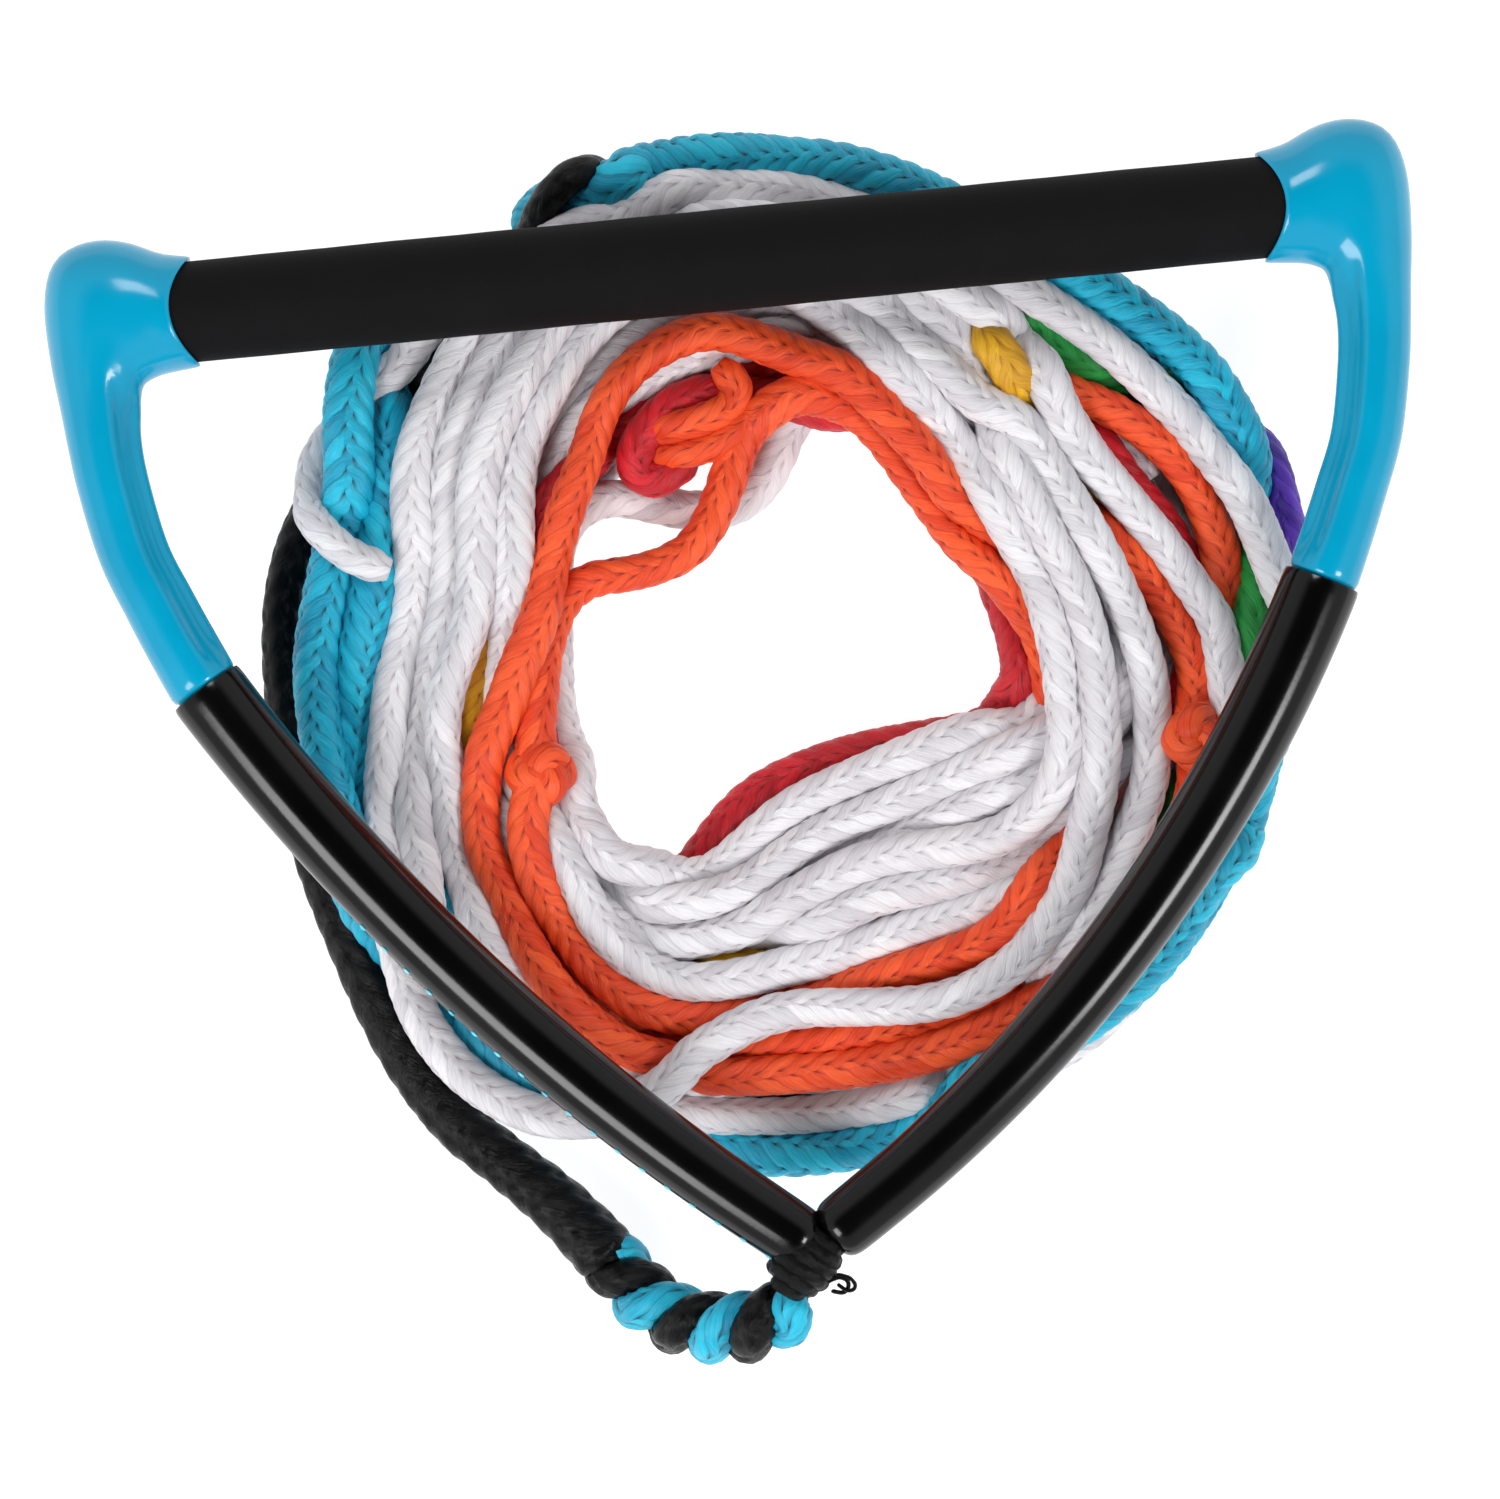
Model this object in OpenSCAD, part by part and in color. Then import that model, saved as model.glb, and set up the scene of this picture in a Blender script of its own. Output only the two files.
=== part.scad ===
// Water-ski tow handle lying on its own coiled tow line.
// +X runs along the bar, -Y points from the bar to the apex of the bridle and +Z is up.
// The origin lies on the resting surface, straight under the middle of the grip.

/* [Bar and grip] */
// Length of grip that shows between the two corner arms
grip_length = 330; // [320:1:340]
// Outer radius of the rubber grip
grip_radius = 15.35; // [14.5:0.05:15.9]
// Outer radius of the aluminium bar under the grip
bar_radius = 12.7; // [12:0.1:13]
// Wall of the aluminium bar
bar_wall = 1.6; // [1.2:0.1:2]
// Depth of the bar's socket in each arm
socket_depth = 13.5; // [10:0.5:14]

/* [Bridle] */
// Distance from the bar's axis to the pivot inside the apex whipping
apex_drop = 306; // [300:1:312]
// Sideways place of the apex, measured from the middle of the bar
apex_shift = -2; // [-4:1:0]
// Outer radius of the plastic guard tubes
guard_radius = 11.3; // [11:0.1:12]
// Wall of the guard tubes
guard_wall = 3.3; // [3:0.1:3.5]
// How far the left guard bows out from its chord
left_bow = 10; // [8:0.5:15]
// How far the right guard bows out from its chord
right_bow = 15.5; // [8:0.5:16]
// Radius of the bridle rope inside the arms, guards and bar
bridle_radius = 4; // [3:0.1:4.2]
// Radius of the wound whipping at the apex
whipping_radius = 10; // [8:0.5:10]

/* [Coiled line] */
// Outer radius of the coil
coil_outer = 151; // [148:1:152]
// Inner radius of the coil
coil_inner = 73; // [68:1:76]
// Height of the coil at its crown
coil_height = 41; // [38:1:44]
// Sideways place of the coil's centre
coil_x = 10; // [8:1:12]
// Place of the coil's centre towards the apex
coil_y = -119; // [-122:1:-116]
// Height of the bottom layer of turns
layer_height = 12; // [11:0.5:13]

/* [Hidden] */
fine = 96;
gap = 0.3;
rest_gap = 0.65;
axis_z = coil_height + rest_gap + grip_radius;
mouth_x = grip_length / 2;
bar_bore = bar_radius - bar_wall;
channel_radius = bridle_radius + 0.6;
core_end = mouth_x - 12;
plug_length = 10;

// Arm sections: distance past the mouth, y, heading clockwise from +X, half width, half height
arm_stations = [
    [0, 0, 0, 17.3, 17.3],
    [5, 0.4, 2, 18.1, 17.5],
    [12, 2.3, 8, 20.9, 17.8],
    [19.5, 2.2, 16, 23.2, 17.8],
    [25.5, -0.3, 29, 23.7, 17.2],
    [28.2, -7, 40, 20.8, 16],
    [28.6, -17, 56, 15.9, 14.4],
    [28, -27, 76, 12.4, 12.8],
    [27.6, -37, 90, 11.2, 11.8],
    [26.2, -50, 95, 11, 11.4],
    [22, -71, 101, 10.8, 11.2],
    [15.8, -87, 109, 10.8, 11.2],
    [10.8, -99, 113, 10.9, 11.2],
    [4.5, -113.2, 117.5, 11, 11.2],
    [4.5, -113.2, 117.5, 6.6, 6.6],
    [-1, -123.8, 117.5, 6.6, 6.6]
];
arm_sides = 24;

// The rope channel turns the corner on a small arc, then follows the arm on a long one
corner_bend = 15;
channel_x = mouth_x + socket_depth + corner_bend;
junction = [mouth_x + 4.5, -113.2];
arm_inset = channel_x - junction[0];
arm_drop = -junction[1] - corner_bend;
arm_bend = (arm_inset * arm_inset + arm_drop * arm_drop) / (2 * arm_inset);
arm_sweep = asin(arm_drop / arm_bend);
overrun = 4;

// Ends of the guards, beside the apex
right_tip = [apex_shift + 10.2, -apex_drop + 11.6];
left_tip = [apex_shift - 7, -apex_drop + 10.5];
guard_start = 1.2;
tip_length = 9;
tip_round = 4;
tip_bore = 6.6;

// Leader from the whipping to the coil: x, y, z and radius. It is a two-strand twist up to
// `twist_end`, and a braid from there on.
leader_points = [
    [-9.2, -312.4, axis_z - 4, 9.5],
    [-18, -321, 48, 10],
    [-35, -323, 34, 10.4],
    [-52, -317, 20, 10.4],
    [-64, -303, 11, 10.4],
    [-79, -284, 9.5, 9.5],
    [-95, -268, 8.5, 8.5],
    [-109, -254, 8, 8],
    [-121, -235, 7.5, 7.5],
    [-130, -215, 7, 7],
    [-137, -196, 6.5, 6.5],
    [-143, -177, 6.2, 6.2],
    [-147.5, -158, 6, 6],
    [-149.5, -138, 6, 6],
    [-150, -118, 6, 6],
    [-149, -100, 6, 6],
    [-146, -84, 6, 6],
    [-139, -67, 6, 6]
];
twist_end = 4;
leader_sides = 10;

// ---- Lofting ----

function unit(v) = v / norm(v);
function flat_list(lists) = [for (l = lists) for (p = l) p];

// Faces of a closed loft through `rings` rings of `sides` points
function loft_faces(rings, sides) = concat(
    [[for (j = [0:sides - 1]) j]],
    flat_list([for (i = [0:rings - 2]) for (j = [0:sides - 1])
        let (a = i * sides + j, b = i * sides + (j + 1) % sides)
        [[a, a + sides, b], [b, a + sides, b + sides]]]),
    [[for (j = [sides - 1:-1:0]) (rings - 1) * sides + j]]
);

function arm_ring(s) = [for (j = [0:arm_sides - 1])
    let (t = -360 * j / arm_sides)
    [mouth_x + s[0] + sin(s[2]) * s[3] * cos(t), s[1] + cos(s[2]) * s[3] * cos(t),
     s[4] * sin(t)]];

function tangent(points, i) = let (n = len(points) - 1)
    unit([for (k = [0:2]) points[min(i + 1, n)][k] - points[max(i - 1, 0)][k]]);
function tube_ring(points, i) =
    let (t = tangent(points, i), side = unit(cross(t, [0, 0, 1])), top = cross(side, t), p = points[i])
    [for (j = [0:leader_sides - 1]) let (a = 360 * j / leader_sides)
        [p[0], p[1], p[2]] + p[3] * (side * cos(a) + top * sin(a))];

// A tube through a route's points from the one at `first` to the one at `last`
module rope_tube(points, first = 0, last = undef) {
    end = is_undef(last) ? len(points) - 1 : last;
    polyhedron(
        points = flat_list([for (i = [first:end]) tube_ring(points, i)]),
        faces = loft_faces(end - first + 1, leader_sides)
    );
}

// ---- Placing ----

module along_x(from, to, radius) {
    translate([from, 0, 0]) rotate([0, 90, 0]) cylinder(h = to - from, r = radius, $fn = fine);
}

// An arc from one point to another that bows to its left by `bow`: centre, radius and its two
// bearings from the centre
function bowed_arc(from, to, bow) =
    let (chord = norm(to - from), bend = chord * chord / (8 * bow) + bow / 2,
        half = asin(chord / 2 / bend), heading = atan2(to[1] - from[1], to[0] - from[0]),
        centre = (from + to) / 2 + (bend - bow) * [sin(heading), -cos(heading)])
    [centre, bend, heading + 90 + half, heading + 90 - half];

// A round bar along such an arc, cut short by `start` where it begins
module bowed_bar(arc, radius, start = 0) {
    trim = start / arc[1] * 180 / PI;
    translate([arc[0][0], arc[0][1], 0]) rotate([0, 0, arc[3]])
        rotate_extrude(angle = arc[2] - arc[3] - trim, $fn = 4 * fine)
            translate([arc[1], 0]) circle(r = radius, $fn = fine);
}

module right_side() { translate([0, 0, axis_z]) children(); }
module left_side() { translate([0, 0, axis_z]) mirror([1, 0, 0]) children(); }
function mirrored(p) = [-p[0], p[1]];

// ---- Bar ----

module grip_sleeve() {
    color("#1A1A1C") translate([0, 0, axis_z]) difference() {
        along_x(-mouth_x, mouth_x, grip_radius);
        along_x(-mouth_x - 1, mouth_x + 1, bar_radius);
    }
}

module bar_tube() {
    half = mouth_x + socket_depth;
    color("silver") translate([0, 0, axis_z]) difference() {
        along_x(-half, half, bar_radius);
        along_x(-half - 1, half + 1, bar_bore);
    }
}

module float_core() {
    color("ivory") translate([0, 0, axis_z]) difference() {
        along_x(-core_end, core_end, bar_bore);
        along_x(-core_end - 1, core_end + 1, channel_radius);
    }
}

// Closes the bar's end round the rope
module end_plug() {
    outer = mouth_x + socket_depth;
    color("dimgray") difference() {
        along_x(outer - plug_length, outer, bar_bore);
        along_x(outer - plug_length - 1, outer + 1, channel_radius);
    }
}

module left_end_plug() { left_side() end_plug(); }
module right_end_plug() { right_side() end_plug(); }

// ---- Corner arms ----

corner_arc = [[channel_x - corner_bend, -corner_bend], corner_bend, 90, 0];
arm_arc = [[channel_x - arm_bend, -corner_bend], arm_bend, 0, -arm_sweep];

// The rope's channel through the arm, which runs a little past both ends
module arm_channel() {
    translate([corner_arc[0][0], corner_arc[0][1], 0])
        rotate_extrude(angle = 90 + overrun, $fn = fine)
            translate([corner_bend, 0]) circle(r = channel_radius, $fn = fine);
    translate([arm_arc[0][0], arm_arc[0][1], 0]) rotate([0, 0, -arm_sweep - overrun])
        rotate_extrude(angle = arm_sweep + overrun, $fn = 4 * fine)
            translate([arm_bend, 0]) circle(r = channel_radius, $fn = fine);
}

module arm() {
    color("#00A3CB") difference() {
        polyhedron(
            points = flat_list([for (s = arm_stations) arm_ring(s)]),
            faces = loft_faces(len(arm_stations), arm_sides)
        );
        along_x(mouth_x - 1, mouth_x + socket_depth, bar_radius);
        arm_channel();
    }
}

module left_arm() { left_side() arm(); }
module right_arm() { right_side() arm(); }

// ---- Guards ----

// Each guard ends short of its tip, where a rounded bush closes it
function bush_base(tip) = tip + [6.6, 6.1];
right_arc = bowed_arc(junction, bush_base(right_tip), right_bow);
left_arc = bowed_arc(junction, bush_base(mirrored(left_tip)), left_bow);
function arc_point(arc, bearing) = arc[0] + arc[1] * [cos(bearing), sin(bearing)];

module guard(arc) {
    color("#0B0B0D") difference() {
        bowed_bar(arc, guard_radius, guard_start);
        bowed_bar(arc, guard_radius - guard_wall);
    }
}

module left_guard() { left_side() guard(left_arc); }
module right_guard() { right_side() guard(right_arc); }

module tip_bush(arc) {
    base = arc_point(arc, arc[3]);
    color("#0B0B0D") translate([base[0], base[1], 0]) rotate([0, 0, arc[3] - 90])
        rotate([0, 90, 0]) rotate_extrude($fn = fine) difference() {
            union() {
                square([guard_radius, tip_length - tip_round]);
                square([guard_radius - tip_round, tip_length]);
                translate([guard_radius - tip_round, tip_length - tip_round])
                    circle(r = tip_round, $fn = fine);
            }
            translate([0, -1]) square([tip_bore, tip_length + 2]);
        }
}

module left_tip_bush() { left_side() tip_bush(left_arc); }
module right_tip_bush() { right_side() tip_bush(right_arc); }

// ---- Bridle rope ----

function rope_along(arc, steps, first = 0) = [for (i = [first:steps])
    let (p = arc_point(arc, arc[2] + (arc[3] - arc[2]) * i / steps))
    [p[0], p[1], 0, bridle_radius]];

// One leg, from inside the bar to the exit beside the whipping
function bridle_leg(arc, exit) = concat(
    [[core_end, 0, 0, bridle_radius]], rope_along(corner_arc, 5), rope_along(arm_arc, 4, 1),
    rope_along(arc, 9, 1), [[exit[0], exit[1], 0, bridle_radius]]
);
function mirrored_back(points) = [for (i = [len(points) - 1:-1:0])
    let (p = points[i]) [-p[0], p[1], p[2], p[3]]];

// Where a leg stops short of the whipping
function leg_exit(arc, apex) = let (base = arc_point(arc, arc[3]))
    apex + (whipping_radius + gap + 0.4) * unit(base - apex);

// One rope runs from the apex through a guard, an arm and the bar, and back down the other side
module bridle_rope() {
    apex = [apex_shift, -apex_drop];
    color("#141414") translate([0, 0, axis_z]) rope_tube(concat(
        mirrored_back(bridle_leg(left_arc, leg_exit(left_arc, mirrored(apex)))),
        bridle_leg(right_arc, leg_exit(right_arc, apex))
    ));
}

// Black yarn wound round the splice, where the bridle meets the leader
module apex_whipping() {
    color("#141414") translate([apex_shift, -apex_drop, axis_z])
        sphere(r = whipping_radius, $fn = fine);
}

// ---- Leader ----

module leader_twist() { color("#04708F") rope_tube(leader_points, last = twist_end); }
module leader_braid() { color("#141414") rope_tube(leader_points, first = twist_end); }

// Places a child beside the coil, at a bearing and a distance from its centre
module by_coil(bearing, distance, height) {
    translate([coil_x + distance * cos(bearing), coil_y + distance * sin(bearing), height]) children();
}

// The leader's loop, passed through the eye of the turquoise section
join_radius = 8;
module leader_join() {
    color("#141414") by_coil(117, coil_outer + join_radius, 20) sphere(r = join_radius, $fn = fine);
}

// Eye that goes over the boat's tow hook
eye_bend = 9;
eye_radius = 6.5;
module boat_loop() {
    color("#0AA0C0") by_coil(141, coil_outer + eye_bend + eye_radius, 20)
        rotate_extrude($fn = fine) translate([eye_bend, 0]) circle(r = eye_radius, $fn = fine);
}

// ---- Coil ----

edge_round = 8;
shoulder = 6;
orange_outer = coil_inner + 16;
turquoise_inner = coil_outer - 17;
lane = (turquoise_inner - orange_outer) / 4;

module ring(inner, outer, bottom, top) {
    translate([coil_x, coil_y, 0]) rotate_extrude($fn = 2 * fine)
        translate([inner, bottom]) square([outer - inner, top - bottom]);
}

// A ring whose outer side is rounded
module rounded_ring(inner, outer, bottom, top) {
    translate([coil_x, coil_y, 0]) rotate_extrude($fn = 2 * fine) {
        translate([inner, bottom]) square([outer - edge_round - inner, top - bottom]);
        translate([inner, bottom + edge_round])
            square([outer - inner, top - bottom - 2 * edge_round]);
        for (z = [bottom + edge_round, top - edge_round])
            translate([outer - edge_round, z]) circle(r = edge_round, $fn = fine);
    }
}

module coil_turquoise() {
    color("#0AA0C0")
        rounded_ring(turquoise_inner + gap, coil_outer, layer_height + gap, coil_height - shoulder);
}
module coil_violet() {
    color("#5A2AA8") ring(turquoise_inner + gap, coil_outer - 2, 0, layer_height);
}
module coil_white() {
    color("#E8E8EC")
        ring(orange_outer + gap, turquoise_inner, layer_height + gap, coil_height);
}
module coil_orange() {
    color("#F5501E") ring(coil_inner, orange_outer, 0, coil_height - shoulder);
}

// The short sections lie side by side in the bottom layer
module bottom_turn(place) {
    ring(orange_outer + place * lane + gap, orange_outer + (place + 1) * lane, 0, layer_height);
}
module coil_red() { color("#D01A28") bottom_turn(0); }
module coil_yellow() { color("#E8B020") bottom_turn(1); }
module coil_green() { color("#0A8A30") bottom_turn(2); }
module coil_blue() { color("#0A3C8C") bottom_turn(3); }

// Knots that join two sections, on the inner side of the coil
knot_radius = 8;
module inner_knot(bearing) {
    by_coil(bearing, coil_inner - knot_radius, 24) sphere(r = knot_radius, $fn = fine);
}
module knot_red_orange() { color("#C8321A") inner_knot(112); }
module knot_orange_white() { color("#F5501E") inner_knot(199); }

grip_sleeve();
bar_tube();
float_core();
left_end_plug();
right_end_plug();
left_arm();
right_arm();
left_guard();
right_guard();
left_tip_bush();
right_tip_bush();
bridle_rope();
apex_whipping();
leader_twist();
leader_braid();
leader_join();
boat_loop();
coil_turquoise();
coil_white();
coil_orange();
coil_red();
coil_yellow();
coil_green();
coil_blue();
coil_violet();
knot_red_orange();
knot_orange_white();
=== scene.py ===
# %% [markdown]
# # A water-ski tow handle on its coiled line
# The CAD model is loaded as a fixed frame. Every piece made here is in metres and in that frame, so
# nothing has to be fitted afterwards. The box of the CAD model is kept.

# %% Load the frame
import math
import bpy
import numpy as np
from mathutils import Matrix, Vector


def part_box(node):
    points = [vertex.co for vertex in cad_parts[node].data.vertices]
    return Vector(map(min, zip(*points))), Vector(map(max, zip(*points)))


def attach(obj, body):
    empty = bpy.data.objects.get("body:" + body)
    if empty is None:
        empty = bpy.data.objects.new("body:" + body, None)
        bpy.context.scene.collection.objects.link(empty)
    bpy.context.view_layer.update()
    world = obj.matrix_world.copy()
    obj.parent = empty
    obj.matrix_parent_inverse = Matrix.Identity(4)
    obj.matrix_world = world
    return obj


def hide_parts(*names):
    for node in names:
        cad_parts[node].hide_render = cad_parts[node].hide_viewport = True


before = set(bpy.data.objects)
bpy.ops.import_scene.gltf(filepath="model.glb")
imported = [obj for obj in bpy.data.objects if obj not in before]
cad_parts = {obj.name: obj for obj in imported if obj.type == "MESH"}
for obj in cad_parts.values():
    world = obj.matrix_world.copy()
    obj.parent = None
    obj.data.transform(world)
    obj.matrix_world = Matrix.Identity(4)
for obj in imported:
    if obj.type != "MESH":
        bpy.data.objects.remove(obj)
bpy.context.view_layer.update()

MM = 0.001
grip_low, grip_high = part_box("grip_sleeve")
AXIS_Z = (grip_low.z + grip_high.z) / 2 / MM
MOUTH_X = grip_high.x / MM
COIL_CENTRE = np.array([10.0, -119.0])
print("bar axis at", round(AXIS_Z, 2), "mm, arms' mouths at", round(MOUTH_X, 2), "mm")

# %% [markdown]
# ## Camera
# The handle is seen from straight above, turned a few degrees. A long lens from two metres keeps the
# bridle's shape true.

# %% Camera
LENS = 150
SENSOR = 36
CAMERA_HEIGHT = 1887.5 + AXIS_Z
CAMERA_FOOT = np.array([-7.6, -147.9])
CAMERA_TURN = -5.57

bpy.ops.object.camera_add(
    location=(CAMERA_FOOT[0] * MM, CAMERA_FOOT[1] * MM, CAMERA_HEIGHT * MM),
    rotation=(0, 0, math.radians(CAMERA_TURN)),
)
camera = bpy.context.object
camera.data.lens = LENS
camera.data.sensor_width = SENSOR
bpy.context.scene.camera = camera
print("camera", round(camera.location.z, 3), "m above the floor")

# %% [markdown]
# ## The line's route
# The line is one long rope in coloured sections, wound into a loose coil that the handle lies on. A
# cord's route is a list of given points, and the turns deep in the coil are arcs round its
# centre. `at` lists points on one height, and `turn` makes an arc.


# %% Route helpers
def at(height, *places):
    """Points of a route at one height. Places are noted beside the bar, in the plane of its axis, and
    a point that lies lower is moved out so that it still shows there from the camera."""
    spread = (CAMERA_HEIGHT - height) / (CAMERA_HEIGHT - AXIS_Z)
    flat = CAMERA_FOOT + (np.array(places, float) - CAMERA_FOOT) * spread
    return np.column_stack([flat, np.full(len(flat), float(height))])


def turn(radius, first, last, height, end_radius=None):
    """Points on an arc round the coil's centre between two bearings in degrees."""
    count = max(2, int(abs(last - first) / 15) + 1)
    bearing = np.radians(np.linspace(first, last, count))
    reach = np.linspace(radius, end_radius or radius, count)
    x = COIL_CENTRE[0] + reach * np.cos(bearing)
    y = COIL_CENTRE[1] + reach * np.sin(bearing)
    return np.column_stack([x, y, np.full(count, float(height))])


def smooth_path(points, step):
    """A Catmull-Rom curve through the points, resampled at even steps. Works in any unit."""
    points = np.asarray(points, float)
    ends = np.vstack([2 * points[0] - points[1], points, 2 * points[-1] - points[-2]])
    pieces = []
    for a, b, c, d in zip(ends[:-3], ends[1:-2], ends[2:-1], ends[3:]):
        t = np.linspace(0, 1, 16, endpoint=False)[:, None]
        pieces.append(0.5 * (2 * b + (c - a) * t + (2 * a - 5 * b + 4 * c - d) * t**2
                             + (3 * b - a - 3 * c + d) * t**3))
    dense = np.vstack(pieces + [points[-1:]])
    along = np.concatenate([[0], np.cumsum(np.linalg.norm(np.diff(dense[:, :3], axis=0), axis=1))])
    count = max(4, int(round(along[-1] / step)) + 1)
    even = np.linspace(0, along[-1], count)
    return np.column_stack([np.interp(even, along, dense[:, k]) for k in range(dense.shape[1])])


def path_length(points):
    """Length along a list of points."""
    return float(np.linalg.norm(np.diff(points[:, :3], axis=0), axis=1).sum())


# %% [markdown]
# ## Routes of the sections
# Each section runs clockwise: down the right side, along the bottom, up the left side and under the
# bar. Visible strands are placed one by one, from the top of the heap down.

# %% Routes
ROUTES = {}
ROUTES["turquoise_section"] = (14.2, [
    at(22, (-58, 12)), at(27, (-50, 23), (-40, 27), (-21, 30), (5, 31), (28, 26), (49, 19)),
    at(26, (80, 2), (109, -19), (121, -29), (133, -39), (141, -51), (147, -65), (150, -78)),
    at(16, (150, -102)), turn(139, -6, -352, 7.2), turn(141, -6, -66, 16),
    at(18, (48, -252), (32, -262), (16, -268), (-1, -270), (-17, -268)),
    at(12, (-45, -258), (-80, -236), (-108, -212)), at(20, (-124, -190), (-131, -160)),
    at(28, (-135, -138), (-136, -119), (-135, -104), (-129, -85), (-122, -69), (-119, -54)),
    at(33, (-120, -44), (-118.5, -32)), at(33, (-115.5, -21)), at(24, (-112, -14)), at(13, (-108, -19)),
    at(14, (-105, -34)), at(17, (-107, -52)),
    at(20, (-111, -75), (-117, -97), (-121, -115), (-123, -132)),
    at(10, (-126, -150), (-122, -172)), turn(133, 216, 330, 7.2),
])
ROUTES["white_section_top"] = (11.8, [
    at(22, (40, -2)), at(30, (62, -20), (72, -45), (80, -70), (86, -88)),
    at(34, (91, -102), (96, -123), (98, -140), (98, -154), (96, -168), (91, -183), (86, -195)),
    at(35, (78, -207), (69, -218), (56, -226), (40, -230), (20, -229), (0, -227), (-15, -229)),
    at(33, (-28, -235), (-39, -243)), at(22, (-54, -251)),
    at(20, (-69, -254), (-82, -252), (-96, -244), (-107, -233), (-115, -218)),
    at(24, (-119, -200), (-121, -178), (-118, -148), (-113, -119)),
    at(30, (-103, -93), (-102, -60), (-98, -45), (-82, -17)), at(29, (-66, 4), (-50, 14)),
    at(28, (-25, 20), (0, 20), (22, 18), (40, 12)), at(28, (68, -4), (98, -27)),
    at(29, (120, -46), (134, -63), (146, -80), (152, -98), (154, -113)),
    at(18, (151, -140), (139, -170)), at(12, (118, -203), (90, -232), (68, -246)),
    at(18, (48, -251), (33, -257), (7, -260), (-18, -259)), at(16, (-42, -255), (-62, -246)),
    at(22, (-84, -231), (-104, -208), (-110, -180)), at(28, (-109, -148), (-104, -119)),
    at(33, (-94, -93), (-92, -62), (-87, -45), (-69, -17)), at(27, (-48, 6), (-12, 12), (25, 6)),
    at(30, (52, -9), (75, -25), (88, -46), (103, -70), (116, -88), (128, -108), (138, -124)),
    at(22, (137, -145)), at(12, (127, -176), (104, -210), (78, -236)),
    at(13, (45, -248), (8, -248), (-30, -242), (-64, -226)), at(20, (-90, -200), (-99, -170)),
    at(28, (-101, -146), (-95, -119)), at(34, (-84, -93), (-82, -62), (-76, -45), (-56, -17)),
    at(26, (-32, 2), (5, 2), (36, -10)),
    at(32, (55, -28), (70, -48), (84, -68), (95, -85), (105, -103), (112, -124), (114, -142)),
    at(30, (114, -156), (112, -170), (106, -182), (99, -194), (92, -204)), at(14, (74, -226)),
])
ROUTES["white_section_middle"] = (11.8, [
    at(14, (74, -226), (88, -208)), at(24, (74, -200), (63, -202), (42, -205)),
    at(25, (22, -210), (1, -214), (-19, -217), (-35, -218), (-47, -211), (-57, -198)),
    at(20, (-67, -180), (-76, -158)), at(25, (-84, -138), (-84, -119)),
    at(31, (-75, -93), (-72, -66), (-66, -45), (-44, -17)), at(24, (-18, -2), (14, -5)),
    at(30, (36, -24), (53, -46), (66, -66), (77, -86), (85, -106)), at(24, (89, -130), (88, -156)),
    at(24, (78, -175), (60, -183), (34, -183), (15, -187), (-4, -199)), at(22, (-20, -203), (-38, -203)),
    at(14, (-62, -188), (-80, -162), (-88, -128)), at(20, (-82, -90), (-66, -56), (-46, -30)),
    at(15, (-12, -14), (28, -18)), at(18, (64, -44), (88, -78), (100, -112), (100, -145)),
    at(22, (90, -172), (70, -187), (45, -193), (24, -196), (10, -203)), at(17, (-14, -208)),
    turn(104, 246, 75, 7, 96), at(13, (62, -30), (92, -66), (108, -104)), at(18, (104, -144)),
    at(23, (90, -160), (70, -165), (50, -173), (30, -179), (10, -186)), at(20, (-14, -193), (-38, -194)),
    turn(92, 232, 60, 7, 86), turn(90, 60, 0, 8),
    at(22, (92, -148), (70, -157), (41, -167), (20, -172)), at(23, (3, -179), (-11, -188), (-32, -191)),
    at(16, (-48, -186), (-70, -164)), turn(97, 205, 20, 17, 92),
    at(20, (96, -128), (83, -149)), at(23, (56, -150), (17, -161), (1, -167), (-12, -177)),
    at(21, (-27, -188), (-48, -182), (-61, -171)), at(16, (-65, -150), (-66, -124), (-62, -98)),
    at(14, (-60, -76), (-45, -67), (-30, -71), (-18, -75), (-6, -75), (3, -70), (9, -61), (13, -51)),
    at(15, (22, -42), (40, -38)),
])
ROUTES["white_section_base"] = (11.8, [
    turn(130, 100, -300, 7, 120), turn(116, -300, -520, 8, 110), turn(128, -520, -700, 18, 122),
])
ROUTES["white_tail"] = (10.6, [
    at(18, (-78, 2)), at(20, (-95, -15)), at(14, (-108, -30)), at(8, (-122, -41)), at(12, (-131, -52)),
    at(24, (-131, -64)), at(33, (-127, -74)), at(35.5, (-120, -80)), at(34.5, (-111, -83.5)),
])
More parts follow.
